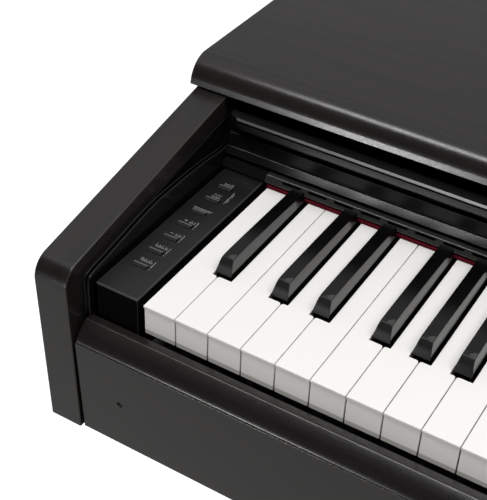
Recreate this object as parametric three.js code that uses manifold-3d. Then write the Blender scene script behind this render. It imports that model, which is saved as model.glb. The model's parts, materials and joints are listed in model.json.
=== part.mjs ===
// Digital piano on stand: an 88-key console with a sliding key cover, on two leg panels.
// Millimetres, +Z up, origin on the floor under the middle. The player sits on the -Y side.

import * as THREE from 'three';
import { mergeVertices } from 'three/addons/utils/BufferGeometryUtils.js';
import Module from 'manifold-3d';

const wasm = await Module();
wasm.setup();

// ---- driving dimensions -------------------------------------------------------------------

const overallDepth = 422;
const keyTopZ = 736.5; // top of the white keys above the floor
const keyPitch = 23.5;
const whiteCount = 52;
const whiteVisible = 150; // white key length in front of the felt
const keyLength = 235;
const gap = 0.3; // running clearance, and clearance of a resting piece

const cheekThick = 25;
const cheekInnerX = 653.5; // half the clear width between the two side arms
const boardOverhang = 4.5;
const boardThick = 18;
const boardUnder = 55.5; // underside of the top board above the key tops
const bedBottom = -118.2; // underside of the console below the key tops
const bedThick = 15;
const armSlope = 0.195; // rise of the side arms' top edges, about 11 degrees
const slope = 0.1794; // rise of the cover tracks, about 10 degrees

const blackHeight = 11.5;
const blackBaseWidth = 12.4;
const blackTopWidth = 9.4;
const blackFrontY = 50.3;
const notchWidth = 14.4;
const blackOffset = 2.9; // how far the outer black keys stand off the white seams

const trackThick = 4.5;
const coverThick = 6;
const coverFrontY = 154.8; // front edge of the open cover, from the key fronts
const barY = 344; // guide bar when the cover is open
const barZ = 43;
const barR = 3.2;

const legThick = 20;
const legDepth = 150;
const footHeight = 45;
const pedalGap = 75;

// ---- derived places, in the console's own frame ---------------------------------------------
// Its origin is at the white keys' front top edge, in the middle of the keyboard.

const keySpan = keyPitch * whiteCount;
const noseY = -21.6; // foremost point of the side arms
const keyFrontY = -overallDepth / 2 - noseY;
const backY = overallDepth + noseY;
const cheekOuterX = cheekInnerX + cheekThick;
const boardTop = boardUnder + boardThick;
const bedTop = bedBottom + bedThick;
const trackInnerX = cheekInnerX - trackThick;
const deepX = cheekInnerX - gap; // half length of boards that sit between the arms
const panelX = trackInnerX - gap; // half length of pieces that sit between the tracks
const rimFront = 8.5;
const rimAt = (y) => rimFront + slope * y; // upper edge of a cover track

// ---- finishes -------------------------------------------------------------------------------

const finishes = {
  woodFilm: { color: 0x2e2a28, roughness: 0.5, metalness: 0 },
  blackBoard: { color: 0x1c1b1b, roughness: 0.7, metalness: 0 },
  panelPlastic: { color: 0x2a2a2a, roughness: 0.6, metalness: 0 },
  glossPlastic: { color: 0x141415, roughness: 0.25, metalness: 0 },
  buttonPlastic: { color: 0x303030, roughness: 0.5, metalness: 0 },
  whiteKey: { color: 0xf2f2ee, roughness: 0.3, metalness: 0 },
  blackKey: { color: 0x161616, roughness: 0.45, metalness: 0 },
  redFelt: { color: 0x5b0c1c, roughness: 1, metalness: 0 },
  steel: { color: 0x9a9a9c, roughness: 0.4, metalness: 1 },
  brass: { color: 0xc9a24e, roughness: 0.3, metalness: 1 },
  circuitBoard: { color: 0x1d5a35, roughness: 0.6, metalness: 0 },
  speaker: { color: 0x1a1a1c, roughness: 0.8, metalness: 0 },
  framePlastic: { color: 0x55565a, roughness: 0.7, metalness: 0 },
};

// ---- shape helpers --------------------------------------------------------------------------

const alongX = new THREE.Matrix4().makeBasis(
  new THREE.Vector3(0, 1, 0),
  new THREE.Vector3(0, 0, 1),
  new THREE.Vector3(1, 0, 0),
);

function outline(points) {
  return new THREE.Shape(points.map(([a, b]) => new THREE.Vector2(a, b)));
}

// A (y, z) section pushed along X from x0 to x1.
function profile(section, x0, x1, curveSegments = 6) {
  const shape = Array.isArray(section) ? outline(section) : section;
  const made = new THREE.ExtrudeGeometry(shape, {
    depth: x1 - x0,
    bevelEnabled: false,
    curveSegments,
  });
  return made.applyMatrix4(alongX).translate(x0, 0, 0);
}

// A plan (x, y) outline raised from z0 to z1.
function raised(plan, z0, z1, curveSegments = 8) {
  const shape = Array.isArray(plan) ? outline(plan) : plan;
  const made = new THREE.ExtrudeGeometry(shape, {
    depth: z1 - z0,
    bevelEnabled: false,
    curveSegments,
  });
  return made.translate(0, 0, z0);
}

function box(x0, x1, y0, y1, z0, z1) {
  const made = new THREE.BoxGeometry(x1 - x0, y1 - y0, z1 - z0);
  return made.translate((x0 + x1) / 2, (y0 + y1) / 2, (z0 + z1) / 2);
}

function roundX(x0, x1, y, z, radius, sides = 16) {
  const made = new THREE.CylinderGeometry(radius, radius, x1 - x0, sides);
  return made.rotateZ(Math.PI / 2).translate((x0 + x1) / 2, y, z);
}

function roundZ(x, y, z0, z1, radius, sides = 20) {
  const made = new THREE.CylinderGeometry(radius, radius, z1 - z0, sides);
  return made.rotateX(Math.PI / 2).translate(x, y, (z0 + z1) / 2);
}

function roundY(x, z, y0, y1, radius, sides = 12) {
  const made = new THREE.CylinderGeometry(radius, radius, y1 - y0, sides);
  return made.translate(x, (y0 + y1) / 2, z);
}

function lathedZ(points, sides) {
  const upwards = points.map(([r, z]) => new THREE.Vector2(r, z));
  return new THREE.LatheGeometry(upwards, sides).rotateX(Math.PI / 2);
}

function solid(geometry) {
  const bare = geometry.clone();
  bare.deleteAttribute('normal');
  bare.deleteAttribute('uv');
  const merged = mergeVertices(bare, 1e-4);
  return new wasm.Manifold(
    new wasm.Mesh({
      numProp: 3,
      vertProperties: new Float32Array(merged.attributes.position.array),
      triVerts: new Uint32Array(merged.index.array),
    }),
  );
}

function fromSolid(made) {
  const mesh = made.getMesh();
  const geometry = new THREE.BufferGeometry();
  geometry.setAttribute('position', new THREE.BufferAttribute(mesh.vertProperties, 3));
  geometry.setIndex(new THREE.BufferAttribute(mesh.triVerts, 1));
  geometry.computeVertexNormals();
  return geometry;
}

function join(...geometries) {
  return fromSolid(geometries.map(solid).reduce((all, next) => all.add(next)));
}

function cut(geometry, ...tools) {
  return fromSolid(tools.map(solid).reduce((left, tool) => left.subtract(tool), solid(geometry)));
}

// ---- the scene graph ------------------------------------------------------------------------

const piano = new THREE.Group();
const console88 = new THREE.Group();
console88.position.set(0, keyFrontY, keyTopZ);
const stand = new THREE.Group();
piano.add(console88, stand);

function place(parent, name, finish, geometry, x = 0, y = 0, z = 0) {
  const mesh = new THREE.Mesh(geometry, new THREE.MeshStandardMaterial(finishes[finish]));
  mesh.name = name;
  mesh.position.set(x, y, z);
  parent.add(mesh);
  return mesh;
}

const sides = [
  ['left', -1],
  ['right', 1],
];

// ---- cabinet --------------------------------------------------------------------------------

// The side arm: a leaning front edge, a round nose, a sloping top and a flat under the top board.
function cheekSection() {
  const noseRadius = 15.5;
  const noseCentre = [noseY + noseRadius, 5.4];
  const frontAngle = Math.PI - 0.031;
  const slopeAngle = Math.PI / 2 + Math.atan(armSlope);
  const section = new THREE.Shape();
  section.moveTo(backY, bedBottom);
  section.lineTo(backY, boardUnder - gap);
  section.lineTo(168.4, boardUnder - gap);
  section.absarc(noseCentre[0], noseCentre[1], noseRadius, slopeAngle, frontAngle, false);
  section.lineTo(noseY + 3.9, bedBottom);
  return section;
}

// The top board: a face that leans back from a small lower radius, then a large round to the top.
function boardSection() {
  const topFrontY = 181;
  const noseRadius = 19;
  const lowerRadius = 1.3;
  const lowerY = 162.65;
  const lean = (24 * Math.PI) / 180;
  const section = new THREE.Shape();
  section.moveTo(backY, boardUnder);
  section.lineTo(backY, boardTop);
  section.lineTo(topFrontY, boardTop);
  section.absarc(topFrontY, boardTop - noseRadius, noseRadius, Math.PI / 2, Math.PI - lean, false);
  section.absarc(
    lowerY,
    boardUnder + lowerRadius,
    lowerRadius,
    Math.PI - lean,
    Math.PI * 1.5,
    false,
  );
  return section;
}

const restX = 320; // half the music rest's width
const restFrontY = 207; // hinge line of the music rest
const restDepth = 165;
const pocketDepth = 10;
const pocketClear = 1;

function topBoard() {
  const boardX = cheekOuterX + boardOverhang;
  const pocket = box(
    -restX - pocketClear,
    restX + pocketClear,
    restFrontY - pocketClear / 2,
    restFrontY + restDepth + 2 * pocketClear,
    boardTop - pocketDepth,
    boardTop + 1,
  );
  return cut(profile(boardSection(), -boardX, boardX, 8), pocket);
}

const speakerX = 430;
const speakerY = 315;
const speakerHole = 52;
const backInset = 4.6; // how far the bed stops short of the console's back face

function keyBed() {
  const bed = box(-deepX, deepX, 0, backY - backInset, bedBottom, bedTop);
  const holes = sides.map(([, side]) =>
    roundZ(side * speakerX, speakerY, bedBottom - 1, bedTop + 1, speakerHole, 24),
  );
  return cut(bed, ...holes);
}

// The board under the keys, parallel with the front edges of the side arms.
function frontBoard() {
  const thick = 15;
  const topZ = -38;
  const bottomY = noseY + 6.3;
  const topY = bottomY - 3.5;
  const section = [
    [bottomY, bedBottom],
    [bottomY + thick, bedBottom],
    [topY + thick, topZ],
    [topY, topZ],
  ];
  const plugDepth = 1.2;
  const plug = roundY(-619.5, -78, -20, bottomY - 1.6 + plugDepth, 2.2, 12);
  const half = cheekInnerX - 1.3;
  return cut(profile(section, -half, half), plug);
}

// The rounded trim along the front of the keys.
function keySlip() {
  const section = new THREE.Shape();
  section.moveTo(-2, -37.7);
  section.lineTo(-2, -24.2);
  section.lineTo(-7.3, -25);
  section.quadraticCurveTo(-16.6, -29.2, -18.6, -36.6);
  section.lineTo(-18.4, -37.7);
  const half = cheekInnerX - 2.5;
  return profile(section, -half, half, 6);
}

const terminalX = -440;
const terminalHalf = 60;
const terminalZ = -78;
const terminalHeight = 36;

function consoleBack() {
  const back = box(-deepX, deepX, backY - 4, backY, bedBottom, boardUnder - gap);
  const window = box(
    terminalX - terminalHalf,
    terminalX + terminalHalf,
    backY - 5,
    backY + 1,
    terminalZ - terminalHeight / 2,
    terminalZ + terminalHeight / 2,
  );
  return cut(back, window);
}

for (const [name, side] of sides) {
  const start = side < 0 ? -cheekOuterX : cheekInnerX;
  place(console88, `${name}_cheek`, 'woodFilm', profile(cheekSection(), 0, cheekThick, 8), start);
}
place(console88, 'top_board', 'woodFilm', topBoard());
place(console88, 'key_bed', 'blackBoard', keyBed());
place(console88, 'front_board', 'woodFilm', frontBoard());
place(console88, 'key_slip', 'woodFilm', keySlip());
place(console88, 'console_back', 'blackBoard', consoleBack());

// ---- keyboard -------------------------------------------------------------------------------

const blackPlaces = { 1: blackOffset, 4: -blackOffset, 6: blackOffset, 9: -blackOffset, 11: 0 };
const noteNames = ['A', 'Asharp', 'B', 'C', 'Csharp', 'D', 'Dsharp', 'E', 'F', 'Fsharp', 'G', 'Gsharp'];

// Every key of the keyboard, with the span or the middle that it takes along X.
function layOutKeys() {
  const keys = [];
  let white = 0;
  for (let note = 0; note < 88; note += 1) {
    const step = note % 12;
    const octave = Math.floor((note + 9) / 12);
    const name = `key_${noteNames[step]}${octave}`;
    if (step in blackPlaces) {
      const middle = white * keyPitch - keySpan / 2 + blackPlaces[step];
      keys.push({ note, name, black: true, middle });
    } else {
      const left = white * keyPitch - keySpan / 2;
      keys.push({ note, name, black: false, left, right: left + keyPitch });
      white += 1;
    }
  }
  return keys;
}

const keys = layOutKeys();
const keySideGap = 0.45;
const keyBottom = -14;
const whiteFrontBottom = -23;
const notchFrontY = 49;

// A white key: a lever with a deeper front wall, cut back where its black neighbours stand.
function whiteKey(key) {
  const section = [
    [0, whiteFrontBottom],
    [3, whiteFrontBottom],
    [3, keyBottom],
    [keyLength, keyBottom],
    [keyLength, 0],
    [0, 0],
  ];
  const lever = profile(section, key.left + keySideGap, key.right - keySideGap);
  const neighbours = keys.filter(
    (other) => other.black && other.middle > key.left - 10 && other.middle < key.right + 10,
  );
  if (neighbours.length === 0) {
    return lever;
  }
  const notches = neighbours.map((other) =>
    box(
      other.middle - notchWidth / 2,
      other.middle + notchWidth / 2,
      notchFrontY,
      keyLength + 1,
      whiteFrontBottom - 1,
      1,
    ),
  );
  return cut(lever, ...notches);
}

// A black key: a lever below the white tops, with a tapered cap that stops before the felt.
function blackKey(key) {
  const half = blackBaseWidth / 2;
  const capBack = whiteVisible - 0.5;
  const topFront = blackFrontY + 8;
  const cap = box(-half, half, blackFrontY, capBack, -1, blackHeight);
  const corners = cap.attributes.position;
  for (let i = 0; i < corners.count; i += 1) {
    if (corners.getZ(i) > 0) {
      corners.setX(i, (Math.sign(corners.getX(i)) * blackTopWidth) / 2);
      corners.setY(i, Math.max(corners.getY(i), topFront));
    }
  }
  const lever = box(-half, half, blackFrontY, keyLength, keyBottom, 0);
  return join(lever, cap).translate(key.middle, 0, 0);
}

const combHalf = 4; // half width and half depth of the posts between a key and its bar
const whiteBarY = 200;
const blackBarY = 212;
const barDrop = 0.6; // gap between the keys' undersides and the bar across them
const barThick = 4.4;

// The bar under a run of keys, with a post up into each of them.
function combBar(middles, y) {
  const left = middles[0] - combHalf - 1;
  const right = middles[middles.length - 1] + combHalf + 1;
  const top = keyBottom - barDrop;
  const bar = box(left, right, y - combHalf, y + combHalf, top - barThick, top);
  const posts = middles.map((middle) =>
    box(middle - combHalf, middle + combHalf, y - combHalf, y + combHalf, top - 2, keyBottom + 2),
  );
  return [bar, ...posts];
}

// A run of keys that share one body: one comb of whites and one of blacks, each joined by a bar
// under the tails. The bars lie at different depths, so each passes clear of the other's keys.
function whiteComb(run) {
  const whites = run.filter((key) => !key.black);
  return join(...whites.map(whiteKey), ...combBar(whites.map(tailMiddle), whiteBarY));
}

function blackComb(run) {
  const blacks = run.filter((key) => key.black);
  const middles = blacks.map((key) => key.middle);
  return join(...blacks.map(blackKey), ...combBar(middles, blackBarY));
}

// The middle of a white key's tail, between the notches for its black neighbours.
function tailMiddle(key) {
  const overlaps = keys.filter((other) => other.black);
  const left = Math.max(
    key.left,
    ...overlaps.filter((b) => b.middle < key.left + keyPitch / 2).map((b) => b.middle + notchWidth / 2),
  );
  const right = Math.min(
    key.right,
    ...overlaps.filter((b) => b.middle > key.left + keyPitch / 2).map((b) => b.middle - notchWidth / 2),
  );
  return (left + right) / 2;
}

const soloKeys = 12; // keys from the left end that are levers of their own
const runs = [
  ['middle', 12, 48],
  ['treble', 48, 88],
];

for (const key of keys.slice(0, soloKeys)) {
  const geometry = key.black ? blackKey(key) : whiteKey(key);
  place(console88, key.name, key.black ? 'blackKey' : 'whiteKey', geometry);
}
for (const [name, from, to] of runs) {
  const run = keys.slice(from, to);
  place(console88, `${name}_white_keys`, 'whiteKey', whiteComb(run));
  place(console88, `${name}_black_keys`, 'blackKey', blackComb(run));
}

// ---- key frame, contact board, felt and the strip behind the keys ---------------------------

// A moulded deck on three legs, with a front guide rail and the fulcrum rail at the back.
function keyFrame() {
  const deck = -44;
  const deckTop = -40;
  const section = [
    [8, bedTop + gap],
    [12, bedTop + gap],
    [12, deck],
    [110, deck],
    [110, bedTop + gap],
    [114, bedTop + gap],
    [114, deck],
    [224, deck],
    [224, bedTop + gap],
    [228, bedTop + gap],
    [228, deckTop],
    [227, deckTop],
    [227, keyBottom - 0.4],
    [223, keyBottom - 0.4],
    [223, deckTop],
    [24, deckTop],
    [24, -36],
    [20, -36],
    [20, deckTop],
    [8, deckTop],
  ];
  return profile(section, -keySpan / 2 - 2, keySpan / 2 + 2);
}

function contactBoard() {
  const half = keySpan / 2 - 6;
  const board = box(-half, half, 128, 168, -39.7, -38);
  const domes = box(-half + 3, half - 3, 136, 150, -38.5, -32);
  return join(board, domes);
}

function stripSection() {
  return [
    [150.6, 4.3],
    [152.8, 4.3],
    [155, 8],
    [176, 8],
    [176, 10],
    [153.8, 10],
  ];
}

// The concave panel between the strip behind the keys and the sliding cover.
function rearPanel() {
  const section = new THREE.Shape();
  section.moveTo(158.6, 12);
  section.lineTo(178, 12);
  section.lineTo(178, 14.2);
  section.lineTo(164.6, 14.2);
  section.lineTo(164.6, 28.6);
  section.lineTo(160.2, 28.6);
  section.quadraticCurveTo(163.2, 21, 156.4, 16);
  section.quadraticCurveTo(155.6, 13, 158.6, 12);
  return profile(section, -panelX, panelX, 6);
}

place(console88, 'key_frame', 'framePlastic', keyFrame());
place(console88, 'contact_board', 'circuitBoard', contactBoard());
place(
  console88,
  'key_felt',
  'redFelt',
  box(-keySpan / 2, keySpan / 2, whiteVisible + 0.3, whiteVisible + 4, 0.5, 4),
);
place(console88, 'slotted_strip', 'panelPlastic', profile(stripSection(), -panelX, panelX));
place(console88, 'rear_panel', 'glossPlastic', rearPanel());

// ---- end blocks and their controls ----------------------------------------------------------

const blockLeft = 3.6; // clearance between an end block and the nearest white key
const blockWidth = 31.8;
const blockTop = 3;
const blockWall = 2.5;
const blockMiddle = keySpan / 2 + blockLeft + blockWidth / 2;
const buttonCount = 7;
const buttonFirstY = 28;
const buttonPitch = 17;
const buttonWide = 10.6;
const buttonDeep = 3.6;
const buttonProud = 1.4;
const buttonOffset = -2.2; // buttons sit a little to the left of the block's middle
const powerY = 34;
const powerRadius = 5;
const sliderY0 = 66;
const sliderTravel = 36;
const stemWide = 3;
const stemDeep = 6;
const slotClear = 0.4;
const footTop = blockTop - blockWall - 0.4; // top of the flange that keeps a control in its block
const footThick = 2;

// A hollow moulding, open below, with a step up at the back.
function blockShell() {
  const front = -0.5;
  const back = 180;
  const riser = 156.5;
  const backTop = 7.7;
  const outer = [
    [front, bedTop + gap],
    [back, bedTop + gap],
    [back, backTop],
    [riser, backTop],
    [riser, blockTop],
    [front, blockTop],
  ];
  const inner = [
    [front + blockWall, bedTop - 1],
    [back - blockWall, bedTop - 1],
    [back - blockWall, backTop - blockWall],
    [riser + blockWall, backTop - blockWall],
    [riser + blockWall, blockTop - blockWall],
    [front + blockWall, blockTop - blockWall],
  ];
  const half = blockWidth / 2;
  return cut(profile(outer, -half, half), profile(inner, -half + blockWall, half - blockWall));
}

const buttonY = (index) => buttonFirstY + index * buttonPitch;

function leftBlock() {
  const holes = [];
  for (let i = 0; i < buttonCount; i += 1) {
    const halfWide = buttonWide / 2 + gap;
    const halfDeep = buttonDeep / 2 + gap;
    const y = buttonY(i);
    const x = buttonOffset;
    holes.push(box(x - halfWide, x + halfWide, y - halfDeep, y + halfDeep, 0, blockTop + 1));
  }
  return cut(blockShell(), ...holes);
}

function rightBlock() {
  const power = roundZ(0, powerY, 0, blockTop + 1, powerRadius + gap, 20);
  const y0 = sliderY0 - stemDeep / 2 - slotClear;
  const y1 = sliderY0 + sliderTravel + stemDeep / 2 + slotClear;
  const halfWide = stemWide / 2 + slotClear;
  const slot = box(-halfWide, halfWide, y0, y1, 0, blockTop + 1);
  return cut(blockShell(), power, slot);
}

// A push button: the bar that shows, on a wider foot that holds it in under the panel.
function button() {
  const bar = box(
    -buttonWide / 2,
    buttonWide / 2,
    -buttonDeep / 2,
    buttonDeep / 2,
    footTop - 0.5,
    blockTop + buttonProud,
  );
  const footWide = buttonWide / 2 + 1.2;
  const foot = box(-footWide, footWide, -3, 3, footTop - footThick, footTop);
  return join(bar, foot);
}

function powerButton() {
  const cap = roundZ(0, 0, footTop - 0.5, blockTop + 1.6, powerRadius, 20);
  const foot = roundZ(0, 0, footTop - footThick, footTop, powerRadius + 1.5, 20);
  return join(cap, foot);
}

function volumeSlider() {
  const x = stemWide / 2;
  const y = stemDeep / 2;
  const stem = box(-x, x, -y, y, footTop - 0.5, blockTop + 0.8);
  const knob = box(-4.5, 4.5, -5, 5, blockTop + 0.5, blockTop + 5);
  const foot = box(-4, 4, -5, 5, footTop - footThick, footTop);
  return join(stem, knob, foot);
}

place(console88, 'left_end_block', 'panelPlastic', leftBlock(), -blockMiddle);
place(console88, 'right_end_block', 'panelPlastic', rightBlock(), blockMiddle);
for (let i = 0; i < buttonCount; i += 1) {
  const x = -blockMiddle + buttonOffset;
  place(console88, `panel_button_${i + 1}`, 'buttonPlastic', button(), x, buttonY(i));
}
place(console88, 'power_button', 'buttonPlastic', powerButton(), blockMiddle, powerY);
place(console88, 'volume_slider', 'buttonPlastic', volumeSlider(), blockMiddle, sliderY0);

// ---- key cover, its guide bar and tracks ----------------------------------------------------

// A moulded plate on the arm's inner face: its rim carries the cover's pins up the slope, and
// the level ledge behind carries the guide bar's glides.
function trackSection() {
  const ledge = 38.7;
  const ledgeY = (ledge - rimFront) / slope;
  const frontY = -5;
  const bend = 5;
  const section = new THREE.Shape();
  section.moveTo(frontY, -23.6);
  section.lineTo(-1.7, -23.6);
  section.lineTo(-1.7, -60);
  section.lineTo(356, -60);
  section.lineTo(356, ledge);
  section.lineTo(ledgeY, ledge);
  section.lineTo(frontY + bend + 1, rimAt(frontY + bend + 1));
  section.quadraticCurveTo(frontY, rimAt(frontY), frontY, rimAt(frontY) - bend);
  return section;
}

const pinY = 168;
const pinR = 2.2;
const pinRooted = 6; // how far a pin reaches into the cover
const pinProud = 4;
const pinZ = rimAt(pinY) + gap + pinR;
const coverUnder = 37.8;

// The cover's section: a grip lip at the front, a flat plate, and a knuckle round the bar.
function coverSection() {
  const top = coverUnder + coverThick;
  const knuckle = 5.2;
  const joinAngle = Math.PI - Math.asin((top - barZ) / knuckle);
  const section = new THREE.Shape();
  section.moveTo(barY, barZ - knuckle);
  section.lineTo(coverFrontY + 3.8, barZ - knuckle);
  section.lineTo(coverFrontY + 3.4, coverUnder - 2);
  section.lineTo(coverFrontY + 0.6, coverUnder - 2.2);
  section.lineTo(coverFrontY, coverUnder - 0.8);
  section.lineTo(coverFrontY, top - 1);
  section.lineTo(coverFrontY + 1, top);
  section.absarc(barY, barZ, knuckle, joinAngle, -Math.PI / 2, true);
  const bore = new THREE.Path();
  bore.absarc(barY, barZ, barR + gap, 0, Math.PI * 2, false);
  section.holes.push(bore);
  return section;
}

function keyCover() {
  const half = panelX - 0.5;
  const plate = profile(coverSection(), -half, half, 8);
  const corners = sides.map(([, side]) => {
    const corner = [
      [side * (half + 1), coverFrontY - 1],
      [side * (half - 10.4), coverFrontY - 1],
      [side * (half - 10.4), coverFrontY],
      [side * (half + 1), coverFrontY + 6.5],
    ];
    return raised(side > 0 ? corner.reverse() : corner, 30, 50);
  });
  const pins = sides.map(([, side]) => {
    const ends = [side * (half - pinRooted), side * (half + pinProud)];
    return roundX(Math.min(...ends), Math.max(...ends), pinY, pinZ, pinR, 12);
  });
  return join(cut(plate, ...corners), ...pins);
}

const glideThick = 4.2;
const glideHalf = 7;
const glideDrop = 4;

function guideBar() {
  const half = panelX + 0.2;
  const glides = sides.map(([, side]) => {
    const ends = [side * half, side * (half + glideThick)];
    const [x0, x1] = [Math.min(...ends), Math.max(...ends)];
    return box(x0, x1, barY - glideHalf, barY + glideHalf, barZ - glideDrop, barZ + glideDrop);
  });
  return join(roundX(-half - 1, half + 1, barY, barZ, barR, 12), ...glides);
}

for (const [name, side] of sides) {
  const start = side < 0 ? -cheekInnerX : trackInnerX;
  place(console88, `${name}_cover_track`, 'glossPlastic', profile(trackSection(), 0, trackThick, 6), start);
}
place(console88, 'key_cover', 'glossPlastic', keyCover());
place(console88, 'cover_guide_bar', 'steel', guideBar());

// ---- music rest -----------------------------------------------------------------------------

const restThick = 6.5;
const restLip = 5;
const propArm = 70; // hinge of the rest to the hinge of its prop
const propLength = 82.4;
const propWire = 2.6;
const propWidth = 110;
const propBelow = 1.9; // middle of the wire below the rest's underside

function musicRest() {
  const section = [
    [restFrontY + 1, boardTop - restThick],
    [restFrontY + restDepth, boardTop - restThick],
    [restFrontY + restDepth, boardTop],
    [restFrontY + 6, boardTop],
    [restFrontY + 6, boardTop + restLip],
    [restFrontY + 1, boardTop + restLip],
  ];
  return profile(section, -restX, restX);
}

// A flat wire loop under the rest that stands on the pocket's floor when the rest is up.
function restProp() {
  const half = propWidth / 2;
  const y0 = restFrontY + propArm - propWire / 2;
  const y1 = restFrontY + propArm + propLength + propWire / 2;
  const z = boardTop - restThick - propBelow;
  const outer = box(-half, half, y0, y1, z - propWire / 2, z + propWire / 2);
  const inner = box(-half + propWire, half - propWire, y0 + propWire, y1 - propWire, z - 5, z + 5);
  return cut(outer, inner);
}

place(console88, 'music_rest', 'blackBoard', musicRest());
place(console88, 'music_rest_prop', 'steel', restProp());

// ---- electronics and sound ------------------------------------------------------------------

function loudspeaker() {
  const section = [
    [0, 12],
    [14, 16],
    [50, gap],
    [62, gap],
    [62, 4],
    [56, 4],
    [35, 28],
    [30, 28],
    [30, 44],
    [0, 44],
  ];
  return lathedZ(section, 20);
}

function mainBoard() {
  const board = box(-110, 110, 250, 350, bedTop + 6, bedTop + 7.6);
  const corners = [-100, 100].flatMap((x) => [260, 340].map((y) => [x, y]));
  const feet = corners.map(([x, y]) => roundZ(x, y, bedTop + gap, bedTop + 7, 4, 10));
  const sink = box(-80, -30, 300, 335, bedTop + 7, bedTop + 32);
  const plug = box(40, 90, 262, 272, bedTop + 7, bedTop + 18);
  return join(board, ...feet, sink, plug);
}

const jackX = -516;
const jackHalf = 34;
const jackFrontY = 38;
const jackHeight = 28;
const jackRadius = 3.3;

function jackBox() {
  const top = bedBottom - gap;
  const shell = box(-jackHalf, jackHalf, jackFrontY, jackFrontY + 60, top - jackHeight, top);
  const sockets = [-15, 15].map((x) =>
    roundY(x, top - jackHeight / 2, jackFrontY - 1, jackFrontY + 34, jackRadius, 12),
  );
  return cut(shell, ...sockets);
}

const dcRadius = 4;
const pedalSocketRadius = 6.5;
const usbHalf = 6;
const terminalDeep = 16;

function terminalPlate() {
  const halfWide = terminalHalf - gap;
  const halfHigh = terminalHeight / 2 - gap;
  const plate = box(
    -halfWide,
    halfWide,
    backY - terminalDeep,
    backY - 1,
    terminalZ - halfHigh,
    terminalZ + halfHigh,
  );
  const y0 = backY - 12;
  const y1 = backY + 1;
  const dc = roundY(-38, terminalZ, y0, y1, dcRadius, 12);
  const pedal = roundY(0, terminalZ, y0, y1, pedalSocketRadius, 16);
  const usb = box(38 - usbHalf, 38 + usbHalf, y0, y1, terminalZ - 5.5, terminalZ + 5.5);
  return cut(plate, dc, pedal, usb);
}

for (const [name, side] of sides) {
  place(console88, `${name}_speaker`, 'speaker', loudspeaker(), side * speakerX, speakerY, bedTop);
}
place(console88, 'main_board', 'circuitBoard', mainBoard());
place(console88, 'jack_box', 'panelPlastic', jackBox(), jackX);
place(console88, 'terminal_plate', 'panelPlastic', terminalPlate(), terminalX);

// ---- stand ----------------------------------------------------------------------------------

const consoleUnderZ = keyTopZ + bedBottom;
const legMiddleX = cheekInnerX + cheekThick / 2;
const legBackY = 200;
const footHalf = 16;
const boxHalf = legMiddleX - legThick / 2 - gap;
const pedalBoxFront = 105;
const pedalBoxBack = 190;
const pedalBoxBottom = footHeight + 1;
const pedalBoxTop = pedalBoxBottom + 78;
const pedalBoxWall = 12;
const pedalZ = 78;
const pedalThick = 8;
const pedalPivotY = 165;
const pedalToeY = 14;
const slotBelow = 13; // room for a pedal to go down
const slotAbove = 7;

function foot() {
  const toe = -188;
  const section = [
    [toe + 6, 0],
    [legBackY + 8, 0],
    [legBackY + 8, footHeight],
    [legBackY - legDepth - 8, footHeight],
    [toe + 14, 26],
    [toe, 18],
    [toe, 6],
  ];
  return profile(section, -footHalf, footHalf);
}

function leg() {
  return box(
    -legThick / 2,
    legThick / 2,
    legBackY - legDepth,
    legBackY,
    footHeight + gap,
    consoleUnderZ - gap,
  );
}

// The lower cross box, open at the back, with a slot in its front for each pedal.
function pedalBox() {
  const shell = box(-boxHalf, boxHalf, pedalBoxFront, pedalBoxBack, pedalBoxBottom, pedalBoxTop);
  const hollow = box(
    -boxHalf + pedalBoxWall,
    boxHalf - pedalBoxWall,
    pedalBoxFront + pedalBoxWall,
    pedalBoxBack + 1,
    pedalBoxBottom + pedalBoxWall,
    pedalBoxTop - pedalBoxWall,
  );
  const slots = [-1, 0, 1].map((n) => {
    const x = n * pedalGap;
    const back = pedalBoxFront + pedalBoxWall + 1;
    return box(x - 10, x + 10, pedalBoxFront - 1, back, pedalZ - slotBelow, pedalZ + slotAbove);
  });
  return cut(shell, hollow, ...slots);
}

// A cast pedal: a long narrow lever with a broad rounded toe.
function pedal() {
  const toeR = 12;
  const neck = 7;
  const swell = pedalToeY + 60;
  const plan = new THREE.Shape();
  plan.moveTo(neck, pedalPivotY + 12);
  plan.lineTo(-neck, pedalPivotY + 12);
  plan.lineTo(-neck, pedalBoxFront - 12);
  plan.quadraticCurveTo(-toeR, swell, -toeR, pedalToeY + toeR);
  plan.absarc(0, pedalToeY + toeR, toeR, Math.PI, Math.PI * 2, false);
  plan.quadraticCurveTo(toeR, swell, neck, pedalBoxFront - 12);
  return raised(plan, pedalZ - pedalThick / 2, pedalZ + pedalThick / 2, 8);
}

function adjuster() {
  const section = [
    [0, 0],
    [16, 0],
    [16, 8],
    [6, 11],
    [6, pedalBoxBottom - gap],
    [0, pedalBoxBottom - gap],
  ];
  return lathedZ(section, 20);
}

for (const [name, side] of sides) {
  place(stand, `${name}_foot`, 'woodFilm', foot(), side * legMiddleX);
  place(stand, `${name}_leg`, 'woodFilm', leg(), side * legMiddleX);
}
place(stand, 'back_board', 'woodFilm', box(-boxHalf, boxHalf, 184, 196, 200, 540));
place(stand, 'pedal_box', 'woodFilm', pedalBox());
['left', 'middle', 'right'].forEach((name, index) => {
  place(stand, `${name}_pedal`, 'brass', pedal(), (index - 1) * pedalGap);
});
place(stand, 'height_adjuster', 'panelPlastic', adjuster(), 0, 148);

export default piano;
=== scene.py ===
import json
import math
import random

import bmesh
import bpy
from mathutils import Matrix, Vector


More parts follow.
